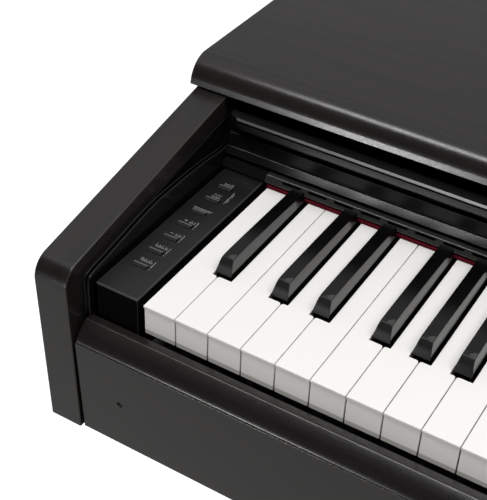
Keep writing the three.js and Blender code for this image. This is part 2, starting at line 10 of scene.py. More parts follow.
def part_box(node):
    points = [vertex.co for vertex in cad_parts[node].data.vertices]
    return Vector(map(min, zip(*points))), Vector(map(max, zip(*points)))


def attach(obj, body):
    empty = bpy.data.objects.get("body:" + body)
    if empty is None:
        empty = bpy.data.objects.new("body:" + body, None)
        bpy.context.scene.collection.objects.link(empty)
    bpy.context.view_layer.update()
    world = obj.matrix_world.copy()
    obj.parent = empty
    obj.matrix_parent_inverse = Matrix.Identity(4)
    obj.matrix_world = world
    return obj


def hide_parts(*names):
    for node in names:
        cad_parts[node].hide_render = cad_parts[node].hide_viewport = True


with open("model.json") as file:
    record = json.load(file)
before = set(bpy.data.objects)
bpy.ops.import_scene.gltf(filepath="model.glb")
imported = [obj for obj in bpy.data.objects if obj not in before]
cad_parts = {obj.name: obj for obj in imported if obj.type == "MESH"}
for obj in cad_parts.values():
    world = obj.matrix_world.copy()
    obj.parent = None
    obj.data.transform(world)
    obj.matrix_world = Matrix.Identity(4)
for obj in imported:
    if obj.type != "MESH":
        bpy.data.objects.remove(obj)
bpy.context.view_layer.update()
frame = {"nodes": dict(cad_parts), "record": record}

mm = 0.001
up = Vector((0, 0, 1))
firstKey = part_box("key_A0")
origin = Vector((0, firstKey[0].y, firstKey[1].z))  # front top edge of the white keys, mid keyboard
slotOf = {part["node"]: part["material_slot"] for part in frame["record"]["subparts"]}
bodyOf = {n: b for b, nodes in frame["record"]["behaviour"]["bodies"].items() for n in nodes}


def spot(x, y, z):  # millimetres from the keyboard's origin to the model's metres
    return origin + Vector((x, y, z)) * mm


def span(node):  # a node's box in keyboard millimetres: x0, x1, y0, y1, z0, z1
    low, high = [(corner - origin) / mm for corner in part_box(node)]
    return low.x, high.x, low.y, high.y, low.z, high.z


cameraLook = {
    "place": (-0.295, -0.6167, 1.2031),
    "azimuth": 29.93,
    "elevation": 38.48,
    "roll": 2.37,
    "lens": 82.14,
    "sensor": 36,
}


def addCamera(look):
    a, e, r = (math.radians(look[k]) for k in ("azimuth", "elevation", "roll"))
    back = Vector((math.sin(a) * math.cos(e), -math.cos(a) * math.cos(e), math.sin(e)))
    right = up.cross(back).normalized()
    over = back.cross(right)
    turned = right * math.cos(r) + over * math.sin(r)
    upright = over * math.cos(r) - right * math.sin(r)
    data = bpy.data.cameras.new("camera")
    data.lens = look["lens"]
    data.sensor_width = look["sensor"]
    data.clip_start = 0.01
    camera = bpy.data.objects.new("camera", data)
    camera.matrix_world = Matrix.Translation(look["place"]) @ Matrix(
        (turned, upright, back)).transposed().to_4x4()
    bpy.context.scene.collection.objects.link(camera)
    bpy.context.scene.camera = camera


addCamera(cameraLook)
print("camera placed")


def linear(code):  # sRGB hex to linear RGBA
    parts = [int(code[i:i + 2], 16) / 255 for i in (1, 3, 5)]
    return [c / 12.92 if c <= 0.04045 else ((c + 0.055) / 1.055) ** 2.4 for c in parts] + [1]


def addNode(tree, kind, settings=None, links=None):  # links lead in from sockets or nodes
    node = tree.nodes.new(kind)
    for key, value in (settings or {}).items():
        if key == "stops":  # where each colour of a ramp stands
            elements = node.color_ramp.elements
            for i, (where, code) in enumerate(value):
                element = elements[i] if i < len(elements) else elements.new(where)
                element.position = where
                element.color = linear(code)
        elif isinstance(key, str) and hasattr(node, key):
            setattr(node, key, value)
        else:
            node.inputs[key].default_value = value
    for key, source in (links or {}).items():
        tree.links.new(getattr(source, "outputs", [source])[0], node.inputs[key])
    return node


def startMaterial(name, settings):  # a fresh material with its shader and its position in metres
    material = bpy.data.materials.new(name)
    material.use_nodes = True
    tree = material.node_tree
    tree.nodes.clear()
    shader = addNode(tree, "ShaderNodeBsdfPrincipled", settings)
    addNode(tree, "ShaderNodeOutputMaterial", links={"Surface": shader})
    place = addNode(tree, "ShaderNodeTexCoord").outputs["Object"]
    return material, tree, shader, place


def perMetre(*sizes):  # how many repeats of a pattern of this size, in mm, fit in a metre
    counts = [1 / (size * mm) for size in sizes]
    return counts if len(counts) > 1 else counts[0]


def finishWith(tree, shader, colour, rough, heights, wearAndSheen=None):
    # colour: a node, or a pattern and the stops it runs through
    # rough: a pattern, the roughness at its low and its high end, and where those ends are
    # heights: patterns and their depths in mm, stacked into one bump
    if isinstance(colour, tuple):
        colour = addNode(tree, "ShaderNodeValToRGB", {"stops": colour[1]}, {"Fac": colour[0]})
    pattern, low, high, *ends = rough
    start, end = ends or (0, 1)
    if wearAndSheen:  # marked faces are paler: worn edges on most finishes, and painted sheen and painted highlights on the black keys, the buttons, the strip and the cover's chamfer
        edge = addNode(tree, "ShaderNodeAttribute", {"attribute_name": "wear_and_sheen"}).outputs["Fac"]
        amount = addNode(tree, "ShaderNodeMath", {"operation": "MULTIPLY", 1: wearAndSheen[1]}, {0: edge})
        colour = addNode(tree, "ShaderNodeMixRGB", {"Color2": linear(wearAndSheen[0])},
                         {"Fac": amount, "Color1": colour})
    found = {"Base Color": colour, "Roughness": addNode(tree, "ShaderNodeMapRange", {
        "From Min": start, "From Max": end, "To Min": low, "To Max": high}, {"Value": pattern})}
    normal = {}
    for height, depth in heights:
        normal = {"Normal": addNode(tree, "ShaderNodeBump", {
            "Distance": depth * mm, "Strength": 1.0}, {"Height": height, **normal})}
    for key, node in {**found, **normal}.items():
        tree.links.new(node.outputs[0], shader.inputs[key])


filmLook = {
    "colours": [(0.30, "#1a1717"), (0.48, "#1e1b1b"), (0.60, "#221d1c"), (0.75, "#1c1919")],
    "pore": "#131111",
    "rubbedEdge": "#37332f",
    "grainWidth": 9.0,  # mm across a streak
    "grainLength": 240.0,
    "poreWidth": 0.55,
    "poreLength": 14.0,
    "speckle": 1.1,  # the film's embossing, drawn coarser than its real 0.3 mm so that it shows
    "speckleDepth": 0.012,
}


def printedWoodFilm(axis):
    # Satin printed film pressed on fibreboard: long faint reddish streaks, short dark pores and a
    # fine embossing that breaks highlights into sparkle
    look = filmLook
    material, tree, shader, place = startMaterial(
        f"satin printed film, grain along {axis}", {"IOR": 1.5})

    def along(length, width):
        sizes = perMetre(*[length if a == axis else width for a in "xyz"])
        return addNode(tree, "ShaderNodeMapping", {"Scale": sizes}, {"Vector": place})

    streaks = addNode(tree, "ShaderNodeTexNoise", {"Scale": 1.0, "Detail": 3.0}, {
        "Vector": along(look["grainLength"], look["grainWidth"])})
    pores = addNode(tree, "ShaderNodeTexNoise", {"Scale": 1.0, "Detail": 1.0}, {
        "Vector": along(look["poreLength"], look["poreWidth"])})
    poreMask = addNode(tree, "ShaderNodeMapRange", {"From Min": 0.62, "From Max": 0.70},
                       {"Value": pores})
    speckle = addNode(tree, "ShaderNodeTexNoise", {"Scale": perMetre(look["speckle"]), "Detail": 2.0},
                      {"Vector": place})
    base = addNode(tree, "ShaderNodeValToRGB", {"stops": look["colours"]}, {"Fac": streaks})
    darkness = addNode(tree, "ShaderNodeMapRange", {"To Max": 0.55}, {"Value": poreMask})
    colour = addNode(tree, "ShaderNodeMixRGB", {"Color2": linear(look["pore"])},
                     {"Fac": darkness, "Color1": base})
    sunk = addNode(tree, "ShaderNodeMapRange", {"To Min": 1.0, "To Max": 0.0}, {"Value": poreMask})
    finishWith(tree, shader, colour, (speckle, 0.17, 0.27, 0.3, 0.7),
               [(speckle, look["speckleDepth"]), (sunk, 0.006)], (look["rubbedEdge"], 0.5))
    return material


def paintedBoard():
    # Fibreboard sprayed flat black: a dull surface with the board's fine fibre showing through
    material, tree, shader, place = startMaterial("black sprayed fibreboard", {"IOR": 1.45})
    fibre = addNode(tree, "ShaderNodeTexNoise", {"Scale": perMetre(1.6), "Detail": 4.0},
                    {"Vector": place})
    cloud = addNode(tree, "ShaderNodeTexNoise", {"Scale": perMetre(60), "Detail": 2.0},
                    {"Vector": place})
    finishWith(tree, shader, (cloud, [(0.35, "#1a1919"), (0.65, "#242323")]),
               (fibre, 0.55, 0.75), [(fibre, 0.02)], ("#383635", 0.5))
    return material


def mouldedPanel(name, low, high, rough, grain, depth, shine=0.5, wearAndSheen=("#4b4b4b", 0.35)):
    # ABS moulded in a spark-eroded tool: an even fine grain that scatters light and hides prints
    material, tree, shader, place = startMaterial(name, {"IOR": 1.52, "Specular IOR Level": shine})
    pits = addNode(tree, "ShaderNodeTexVoronoi", {"Scale": perMetre(grain)},
                   {"Vector": place}).outputs["Distance"]
    cloud = addNode(tree, "ShaderNodeTexNoise", {"Scale": perMetre(35), "Detail": 3.0},
                    {"Vector": place})
    finishWith(tree, shader, (cloud, [(0.35, low), (0.65, high)]),
               (cloud, rough - 0.05, rough + 0.05), [(pits, depth)], wearAndSheen)
    return material


def polishedBlack():
    # ABS from a polished mould: clear reflections with faint wipe marks and a little dust
    material, tree, shader, place = startMaterial("polished black ABS", {"IOR": 1.52})
    swept = addNode(tree, "ShaderNodeMapping", {"Scale": perMetre(70, 12, 30)}, {"Vector": place})
    wipes = addNode(tree, "ShaderNodeTexNoise", {"Scale": 1.0, "Detail": 4.0}, {"Vector": swept})
    dust = addNode(tree, "ShaderNodeTexNoise", {"Scale": perMetre(0.8), "Detail": 2.0},
                   {"Vector": place})
    finishWith(tree, shader, (dust, [(0.55, "#0b0b0b"), (0.80, "#141414")]),
               (wipes, 0.20, 0.25, 0.3, 0.7), [(dust, 0.0008)], ("#2a2a2b", 0.5))
    return material


def whiteKeyResin(name, low, high):
    # Acrylic-faced white keys: bright, smooth and faintly warm, with soft wear in the gloss
    material, tree, shader, place = startMaterial(name, {"IOR": 1.49})
    cloud = addNode(tree, "ShaderNodeTexNoise", {"Scale": perMetre(45), "Detail": 2.0},
                    {"Vector": place})
    swept = addNode(tree, "ShaderNodeMapping", {"Scale": perMetre(5, 60, 5)}, {"Vector": place})
    wipes = addNode(tree, "ShaderNodeTexNoise", {"Scale": 1.0, "Detail": 3.0}, {"Vector": swept})
    finishWith(tree, shader, (cloud, [(0.35, low), (0.65, high)]),
               (wipes, 0.26, 0.27, 0.3, 0.7), [(cloud, 0.002)])
    return material


def mattBlackKey():
    # Fine-grained matt resin of the raised keys: soft broad sheen, with a paler painted sheen on the
    # sides, the front and the right top corner
    material, tree, shader, place = startMaterial("matt black key resin", {"IOR": 1.47})
    grain = addNode(tree, "ShaderNodeTexNoise", {"Scale": perMetre(0.35), "Detail": 2.0},
                    {"Vector": place})
    cloud = addNode(tree, "ShaderNodeTexNoise", {"Scale": perMetre(22), "Detail": 2.0},
                    {"Vector": place})
    polish = addNode(tree, "ShaderNodeAttribute", {"attribute_name": "polish"}).outputs["Fac"]
    shine = addNode(tree, "ShaderNodeMapRange", {"To Min": 0.05, "To Max": 0.42}, {"Value": polish})
    tree.links.new(shine.outputs[0], shader.inputs["Specular IOR Level"])
    finishWith(tree, shader, (cloud, [(0.35, "#080707"), (0.65, "#0c0b0b")]),
               (grain, 0.16, 0.22, 0.3, 0.7), [(grain, 0.001)], ("#5a5958", 1.0))
    return material


def woolFelt():
    # Pressed dyed wool: no gloss, a soft halo at grazing angles and tangled fibres
    material, tree, shader, place = startMaterial("pressed red wool felt", {
        "IOR": 1.4, "Sheen Weight": 0.35, "Sheen Roughness": 0.5,
        "Sheen Tint": linear("#a03040"), "Specular IOR Level": 0.2})
    tangle = addNode(tree, "ShaderNodeMapping", {"Scale": perMetre(2.4, 0.5, 0.5)},
                     {"Vector": place})
    fibre = addNode(tree, "ShaderNodeTexNoise", {"Scale": 1.0, "Detail": 5.0, "Distortion": 1.5},
                    {"Vector": tangle})
    finishWith(tree, shader, (fibre, [(0.35, "#430714"), (0.65, "#650f20")]),
               (fibre, 0.9, 1.0), [(fibre, 0.25)])
    return material


def metal(name, low, high, rough, brush, depth):
    # Worked metal: hairlines from the brushing or polishing run along the second axis
    material, tree, shader, place = startMaterial(name, {"Metallic": 1.0})
    drawn = addNode(tree, "ShaderNodeMapping", {"Scale": perMetre(*brush)}, {"Vector": place})
    lines = addNode(tree, "ShaderNodeTexNoise", {"Scale": 1.0, "Detail": 4.0}, {"Vector": drawn})
    cloud = addNode(tree, "ShaderNodeTexNoise", {"Scale": perMetre(18), "Detail": 3.0},
                    {"Vector": place})
    finishWith(tree, shader, (cloud, [(0.35, low), (0.65, high)]),
               (lines, rough - 0.06, rough + 0.08, 0.3, 0.7), [(lines, depth)])
    return material


def solderMask():
    # Glass-epoxy circuit board under green lacquer: fine copper runs show as a raised maze
    material, tree, shader, place = startMaterial("green lacquered circuit board", {"IOR": 1.5})
    runs = addNode(tree, "ShaderNodeTexVoronoi", {"Scale": perMetre(5), "distance": "MANHATTAN"},
                   {"Vector": place}).outputs["Distance"]
    finishWith(tree, shader, (runs, [(0.30, "#174a2b"), (0.45, "#236b3f")]),
               (runs, 0.3, 0.5), [(runs, 0.03)])
    return material


def paperCone():
    # Pulp loudspeaker cone: dull, slightly hairy, with pressed rings
    material, tree, shader, place = startMaterial("pressed pulp cone", {"IOR": 1.4})
    fibre = addNode(tree, "ShaderNodeTexNoise", {"Scale": perMetre(1.2), "Detail": 5.0},
                    {"Vector": place})
    finishWith(tree, shader, (fibre, [(0.3, "#1d1c1b"), (0.7, "#2b2a28")]),
               (fibre, 0.75, 0.95), [(fibre, 0.05)])
    return material


def padPrint():
    # Pad-printed ink on the panel: thin pale marks with slightly broken edges
    material, tree, shader, place = startMaterial("pad-printed pale ink", {"IOR": 1.45})
    gaps = addNode(tree, "ShaderNodeTexNoise", {"Scale": perMetre(0.5), "Detail": 3.0},
                   {"Vector": place})
    finishWith(tree, shader, (gaps, [(0.35, "#7c7c79"), (0.6, "#adada9")]),
               (gaps, 0.5, 0.7), [(gaps, 0.004)])
    return material


filmX = printedWoodFilm("x")
filmY = printedWoodFilm("y")
filmZ = printedWoodFilm("z")
board = paintedBoard()
panel = mouldedPanel("spark-textured black ABS", "#101010", "#141414", 0.38, 0.7, 0.006)
mattBlack = mouldedPanel("matt black ABS", "#0c0c0c", "#101010", 0.60, 0.7, 0.02, 0.12)
satin = mouldedPanel("satin black ABS rail", "#1a1a1a", "#1f1f1f", 0.22, 0.5, 0.003)
dullRail = mouldedPanel("dull black ABS lip", "#131313", "#171717", 0.32, 0.5, 0.003, 0.24)
buffed = mouldedPanel("buffed black ABS band", "#151515", "#1a1a1a", 0.24, 0.5, 0.003, 1.0)
# the strip's rounded edges take its pale edge colour at full strength: a painted highlight line
stripPlastic = mouldedPanel("worn satin ABS strip", "#2c2c2b", "#333332", 0.30, 0.5, 0.004, 0.8,
                            ("#6c6b69", 1.0))
# near-black with almost no sheen, put where there is only shade: painted shade
shadeBlack = mouldedPanel("black painted-shade lining", "#040404", "#060606", 0.90, 0.6, 0.05, 0.05)
# the buttons' top faces take its pale colour at full strength: a painted highlight
button = mouldedPanel("satin black ABS", "#0c0c0c", "#101010", 0.34, 0.5, 0.004, 0.4,
                      ("#5a5a5a", 1.0))
nylon = mouldedPanel("moulded grey nylon", "#505155", "#5b5c60", 0.62, 1.2, 0.02)
gloss = polishedBlack()
whiteResin = whiteKeyResin("polished white key resin", "#eeece9", "#efedea")
# the greyer resin is painted shade on the stepped-back bottom of each white key's front
shadedKeyResin = whiteKeyResin("shade-painted grey-white key resin", "#b9b6b2", "#bfbcb8")
blackResin = mattBlackKey()
felt = woolFelt()
steel = metal("zinc-plated steel", "#8f9196", "#a5a7aa", 0.34, (3, 30, 3), 0.004)
brass = metal("polished brass", "#b98d3f", "#d0a552", 0.22, (1.2, 40, 4), 0.003)
circuit = solderMask()
cone = paperCone()
ink = padPrint()

materialFor = {
    "dark_wood_film": filmX, "black_board": board, "panel_plastic": panel, "gloss_black": gloss,
    "button_plastic": button, "white_key": whiteResin, "black_key": blackResin, "red_felt": felt,
    "steel": steel, "brass": brass, "circuit_board": circuit, "speaker": cone,
    "frame_plastic": nylon,
}
for nodeName, nodeObject in frame["nodes"].items():  # nodes kept as they are wear the same finishes
    nodeObject.data.materials.clear()
    nodeObject.data.materials.append(materialFor[slotOf[nodeName]])
print("materials mixed")


# shapes are drawn in keyboard millimetres, and spot() turns them to metres
def arc(cy, cz, radius, start, end, steps):  # degrees, ends included
    angles = [math.radians(start + (end - start) * i / steps) for i in range(steps + 1)]
    return [(cy + radius * math.cos(a), cz + radius * math.sin(a)) for a in angles]


def bend(p0, p1, p2, steps):  # a curve from p0 to p2 pulled towards p1
    points = []
    for i in range(steps + 1):
        t = i / steps
        points.append(tuple(
            (1 - t) ** 2 * a + 2 * t * (1 - t) * b + t * t * c for a, b, c in zip(p0, p1, p2)))
    return points


def rounded(points, radii, steps=4):  # a plan outline with its corners turned to arcs
    result = []
    for i, point in enumerate(points):
        radius = radii[i % len(radii)]
        here = Vector(point)
        before, after = Vector(points[i - 1]), Vector(points[(i + 1) % len(points)])
        if radius <= 0:
            result.append(tuple(here))
            continue
        start = here + (before - here).normalized() * radius
        end = here + (after - here).normalized() * radius
        result += bend(tuple(start), tuple(here), tuple(end), steps)
    return result


def bridge(bm, a, b):  # a band of faces between two rings of points
    nexts = [*range(1, len(a)), 0]
    return [bm.faces.new((a[i], a[j], b[j], b[i])) for i, j in enumerate(nexts)]


def prism(bm, outline, low, high, axis):  # outline pushed along an axis, as a closed shell
    def put(point, level):
        a, b = point
        return spot(*{"x": (level, a, b), "y": (a, level, b), "z": (a, b, level)}[axis])

    ends = [[bm.verts.new(put(point, level)) for point in outline] for level in (low, high)]
    faces = [bm.faces.new(ends[0]), bm.faces.new(ends[1])] + bridge(bm, *ends)
    bmesh.ops.recalc_face_normals(bm, faces=faces)
    return faces


def block(bm, x0, x1, y0, y1, z0, z1):
    return prism(bm, [(x0, y0), (x1, y0), (x1, y1), (x0, y1)], z0, z1, "z")


def turned(bm, centre, profile, sides):  # a profile of (radius, height) spun round upright
    x, y, z = centre
    rings = []
    for radius, height in profile:
        if radius == 0:
            rings.append([bm.verts.new(spot(x, y, z + height))])
            continue
        turns = [2 * math.pi * i / sides for i in range(sides)]
        rings.append([bm.verts.new(spot(x + radius * math.cos(a), y + radius * math.sin(a),
                                        z + height)) for a in turns])
    faces = []
    for a, b in zip(rings, rings[1:]):
        for i in range(sides):
            j = (i + 1) % sides
            quad = [a[i % len(a)], a[j % len(a)], b[j % len(b)], b[i % len(b)]]
            faces.append(bm.faces.new(list(dict.fromkeys(quad))))
    bmesh.ops.recalc_face_normals(bm, faces=faces)


def soften(bm, width, angle=30, segments=3, edges=None):  # rounds edges and marks them to take the paler edge colour
    layer = bm.faces.layers.float.get("wear_and_sheen") or bm.faces.layers.float.new("wear_and_sheen")
    if edges is None:
        edges = [e for e in bm.edges
                 if len(e.link_faces) == 2 and e.calc_face_angle(0) > math.radians(angle)]
    made = bmesh.ops.bevel(bm, geom=edges, offset=width * mm, segments=segments, profile=0.5,
                           affect="EDGES", clamp_overlap=True, loop_slide=True)
    for face in made["faces"]:
        face[layer] = 1.0


def moulding(outline, low, high, *rounding):  # an outline pushed along x, rounded if asked
    bm = bmesh.new()
    prism(bm, outline, low, high, "x")
    if rounding:
        soften(bm, *rounding)
    return bm


def carve(bm, cutter):  # takes a cutter's volume out of a shell
    pair = []
    for name, part in (("carved", bm), ("cutter", cutter)):
        mesh = bpy.data.meshes.new(name)
        part.to_mesh(mesh)
        part.free()
        pair.append(bpy.data.objects.new(name, mesh))
        bpy.context.scene.collection.objects.link(pair[-1])
    change = pair[0].modifiers.new("carve", "BOOLEAN")
    change.operation = "DIFFERENCE"
    change.solver = "EXACT"
    change.object = pair[1]
    result = bmesh.new()
    view = bpy.context.evaluated_depsgraph_get()
    result.from_mesh(pair[0].evaluated_get(view).to_mesh())
    for item in pair:
        bpy.data.objects.remove(item)
    return result


def show(name, bm, body, material, standsFor=(), second=None):
    # turns a shell into a piece that rides on a body, and lets big faces rule the shading
    mesh = bpy.data.meshes.new(name)
    bm.to_mesh(mesh)
    bm.free()
    mesh.materials.append(material)
    if second:  # for the faces marked 1
        mesh.materials.append(second)
    piece = bpy.data.objects.new(name, mesh)
    bpy.context.scene.collection.objects.link(piece)
    mesh.polygons.foreach_set("use_smooth", [True] * len(mesh.polygons))
    mesh.set_sharp_from_angle(angle=math.radians(38))
    weigh = piece.modifiers.new("weigh", "WEIGHTED_NORMAL")
    weigh.keep_sharp = True
    weigh.weight = 80
    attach(piece, body)
    for node in standsFor:
        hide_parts(node)
    return piece


def fromNode(node):  # a working copy of a node's shape with its flat faces joined up
    bm = bmesh.new()
    bm.from_mesh(frame["nodes"][node].data)
    bmesh.ops.remove_doubles(bm, verts=bm.verts, dist=1e-6)
    bmesh.ops.dissolve_limit(bm, angle_limit=math.radians(0.5), verts=bm.verts, edges=bm.edges)
    return bm


def softened(node, width, material=None, angle=30, segments=3):  # a node with its edges rounded
    bm = fromNode(node)
    soften(bm, width, angle, segments)
    show(f"{node}_finished", bm, bodyOf[node],
         material or materialFor[slotOf[node]], [node])


cabinet = {
    "armEdge": 0.9,  # rounding of the film-wrapped edges
    "boardEdge": 1.1,
    "armRise": 0.195,  # rise of the arms' top edges
    "noseRadius": 15.5,
    "noseHeight": 5.4,
    # the top board's rounded front: where it begins, its radius and how many degrees it turns
    "boardNose": (180.5, 19, 72),
    "boardLip": 12,  # degrees off upright of the flat strip under it
    "boardCorner": 0.5,
}


def armSection():
    look = cabinet
    _, _, y0, y1, z0, z1 = span("left_cheek")
    radius = look["noseRadius"]
    topAngle = 90 + math.degrees(math.atan(look["armRise"]))
    nose = arc(y0 + radius, look["noseHeight"], radius, topAngle, 178.2, 22)
    meets = nose[0][0] + (z1 - nose[0][1]) / look["armRise"]  # where the slope reaches the board
    return [(y1, z0), (y1, z1), (meets, z1)] + nose + [(y0 + 3.9, z0)]


def boardSection():
    _, _, _, y1, z0, z1 = span("top_board")
    (frontY, radius, turn), small = cabinet["boardNose"], cabinet["boardCorner"]
    nose = arc(frontY, z1 - radius, radius, 90, 90 + turn, 30)
    y, z = nose[-1]
    slope = math.tan(math.radians(cabinet["boardLip"]))
    kneeY, kneeZ = y - 0.28, z - 1.1
    low = kneeY - (kneeZ - z0) * slope
    return ([(y1, z0), (y1, z1)] + nose[:-1] + bend((y, z), (y - 0.2, z - 0.55), (kneeY, kneeZ), 4)
            + bend((low + small * slope, z0 + small), (low, z0), (low + small, z0), 4))


for side in ("left", "right"):
    x0, x1 = span(f"{side}_cheek")[:2]
    bm = moulding(armSection(), x0, x1, cabinet["armEdge"])
    show(f"{side}_arm", bm, "console", filmY, [f"{side}_cheek"])

x0, x1, _, y1, z0, z1 = span("top_board")
restX0, restX1, restY0, restY1 = span("music_rest")[:4]
pocket = bmesh.new()
block(pocket, restX0 - 1, restX1 + 1, restY0 - 1.5, restY1 + 2, z1 - 10, z1 + 5)
bm = carve(moulding(boardSection(), x0, x1), pocket)
soften(bm, cabinet["boardEdge"])
show("lid_board", bm, "console", filmX, ["top_board"])


slipLook = {
    "crease": (-7.3, -25),  # the nearly flat top ends here, as y, z
    "pull": (-16.2, -31.0),  # the round below it bends towards here
    "frontZ": -36.6,
    "edge": 0.3,
}


def slipSection():  # a nearly flat top, a fine crease, then a quarter round down to the front
    _, _, y0, y1, z0, z1 = span("key_slip")
    section = [(y1, z0), (y1, z1 - 0.4), (y1 - 0.5, z1)]
    section += bend(slipLook["crease"], slipLook["pull"], (y0, slipLook["frontZ"]), 16)
    section.append((y0 + 0.2, z0))
    return section


x0, x1 = span("key_slip")[:2]
show("slip_rail", moulding(slipSection(), x0, x1, slipLook["edge"], 18, 2), "console",
     filmX, ["key_slip"])

softened("front_board", 0.5, filmX)
softened("key_bed", 0.6, segments=1)
softened("console_back", 0.4, segments=1)
softened("music_rest", 1.2)
print("cabinet built")


keyLook = {
    "whiteCount": 52,
    "sideGap": 0.3,  # half the gap between two whites
    "length": 149.4,  # up to just short of the felt
    "tailEnd": 235,
    "topThick": 2.2,
    "lipOver": 0.9,  # how far the top overhangs the front face
    "topRound": 0.6,
    "nickRadius": 2.0,  # corner between a key's side and its notch
    "notchFront": 49.6,
    "notchWidth": 14.4,
    "leverBottom": -14,
    "frontBottom": -23,
    "frontStep": -19.6,  # the front face steps back below this
    "stepIn": 1.2,
    "wall": 3,
}
blackLook = {
    "offset": 2.9,
    "shift": -0.4,
    "back": 149.2,
    "baseHalf": 6.2,
    "topHalf": 4.1,
    "height": 11.5,
    "foot": 0.5,
    "cap": 2.7,  # below this height the long sides tuck under
    "tuck": 0.9,
    "fall": 2.6,  # how much lower the top is at the back
    "apron": 1.4,  # the front stays full down to the foot for this far back
    # the front's outline, from its foot up to where it runs into the top
    "front": [(51.9, 0.5), (53.6, 4.8), (54.9, 8.0), (56.1, 9.8), (57.4, 10.9), (58.3, 11.4)],
    "facet": ((0, 58.8, 11.5), (3.5, 62.4, 11.5), (4.4, 57.4, 10.7)),  # plane of a top corner
    "edge": 0.3,
    "sideSheen": 0.5,  # how far the sides are painted paler than the top: a painted sheen
    # the front is painted a little paler: a painted sheen
    "noseSheen": 0.14,
    "nosePolish": 0.55,
    "facetGlint": (0.0, 0.38),  # the same painted paleness for the left and the right top corner: a painted glint on the right one
    "polished": (76, 98),  # fingers polish the top up to the first and never reach the second
    "sideDullAndShade": (137.5, 141),  # the same for the sides, whose painted sheen also ends at the first: painted shade towards the felt
}
keySpan = 1222  # mm from the lowest white key's left edge to the highest one's right edge
pitch = keySpan / keyLook["whiteCount"]
blackSteps = {1: blackLook["offset"], 4: -blackLook["offset"], 6: blackLook["offset"],
              9: -blackLook["offset"], 11: 0}


def layOutKeys():
    keys, white = [], 0
    for note in range(88):
        left = white * pitch - keySpan / 2
        if note % 12 in blackSteps:
            keys.append({"note": note, "black": True, "middle": left + blackSteps[note % 12]})
        else:
            keys.append({"note": note, "black": False, "left": left, "right": left + pitch})
            white += 1
    return keys


keys = layOutKeys()


def whiteOutline(key):  # plan from the front left corner round to the right, then the notches
    look = keyLook
    x0, x1 = key["left"] + look["sideGap"], key["right"] - look["sideGap"]
    notches = [k["middle"] for k in keys if k["black"]]
    half = look["notchWidth"] / 2
    leftCut = max([m + half for m in notches if m < (x0 + x1) / 2 and m + half > x0], default=None)
    rightCut = min([m - half for m in notches if m > (x0 + x1) / 2 and m - half < x1], default=None)
    front, wall, end = 0, look["wall"], look["tailEnd"]
    points = [(x0, wall), (x0, front), (x1, front), (x1, wall)]
    radii = [0, 0.5, 0.5, 0]
    if rightCut is not None:
        points += [(x1, look["notchFront"]), (rightCut, look["notchFront"]), (rightCut, end)]
        radii += [look["nickRadius"], 0.6, 0]
    else:
        points.append((x1, end))
        radii.append(0)
    if leftCut is not None:
        points += [(leftCut, end), (leftCut, look["notchFront"]), (x0, look["notchFront"])]
        radii += [0, 0.6, look["nickRadius"]]
    else:
        points.append((x0, end))
        radii.append(0)
    return rounded(points, radii)


def inset(outline, amount, frontOnly=False):
    moved = []
    for i, point in enumerate(outline):
        here = Vector(point)
        before = (here - Vector(outline[i - 1])).normalized()
        after = (Vector(outline[(i + 1) % len(outline)]) - here).normalized()
        inward = Vector((-(before + after).y, (before + after).x)).normalized()
        if frontOnly:
            shift = Vector((0, amount if here.y < 1 else 0))
        else:
            shift = inward * amount
        moved.append(tuple(here + shift))
    return moved


def whiteKeyShell(key):
    # a top slab with a small lip over a lever, and a front wall that hangs lower than the lever
    look = keyLook
    bm = bmesh.new()
    plan = whiteOutline(key)
    under = inset(inset(plan, 0.15), look["lipOver"], True)
    stepped = inset(under, look["stepIn"], True)
    count = len(plan)
    top = [bm.verts.new(spot(x, y, 0)) for x, y in plan]
    edge = [bm.verts.new(spot(x, y, -look["topThick"] + 0.5)) for x, y in plan]
    lip = [bm.verts.new(spot(x, y, -look["topThick"])) for x, y in inset(inset(plan, 0.1), 0.25, True)]
    throat = [bm.verts.new(spot(x, y, -look["topThick"] - 0.1)) for x, y in under]
    base = [bm.verts.new(spot(x, y, look["leverBottom"])) for x, y in under]
    rings = [top, edge, lip, throat, base]
    for upper, lower in zip(rings, rings[1:]):
        for i in range(count):
            j = (i + 1) % count
            bm.faces.new((upper[i], lower[i], lower[j], upper[j]))
    topFace = bm.faces.new(top)
    front = [i for i in range(count) if plan[i][1] <= look["wall"] + 0.01]  # first points of the plan
    rear = [i for i in range(count) if i not in front] + [front[-1], front[0]]
    order = sorted(rear[:-2])
    bm.faces.new([base[front[-1]]] + [base[i] for i in order] + [base[front[0]]])
    levels = [(look["frontStep"], under), (look["frontStep"] - 0.3, stepped),
              (look["frontBottom"], stepped)]
    previous = [base[i] for i in front]
    for level, ring in levels:
        current = [bm.verts.new(spot(*ring[i], level)) for i in front]
        made = [bm.faces.new((previous[a], current[a], current[a + 1], previous[a + 1]))
                for a in range(len(front) - 1)]
        made.append(bm.faces.new((previous[-1], current[-1], current[0], previous[0])))
        # below the step the front takes the greyer resin: painted shade
        if level < look["frontStep"]:
            for face in made:
                face.material_index = 1
        previous = current
    bm.faces.new(previous)
    bmesh.ops.recalc_face_normals(bm, faces=bm.faces)
    soften(bm, look["topRound"], edges=[e for e in topFace.edges])
    return bm


def score(bm, y):  # a line round a shell at one depth, with nothing taken off
    bmesh.ops.bisect_plane(bm, geom=bm.verts[:] + bm.edges[:] + bm.faces[:],
                           plane_no=(0, 1, 0), plane_co=spot(0, y, 0))


def trim(bm, point, normal):  # cuts a shell with a plane and closes it again
    cut = bmesh.ops.bisect_plane(bm, geom=bm.verts[:] + bm.edges[:] + bm.faces[:],
                                 clear_outer=True, plane_co=point, plane_no=normal)
    rim = [e for e in cut["geom_cut"] if isinstance(e, bmesh.types.BMEdge)]
    if rim:
        bmesh.ops.contextual_create(bm, geom=rim)


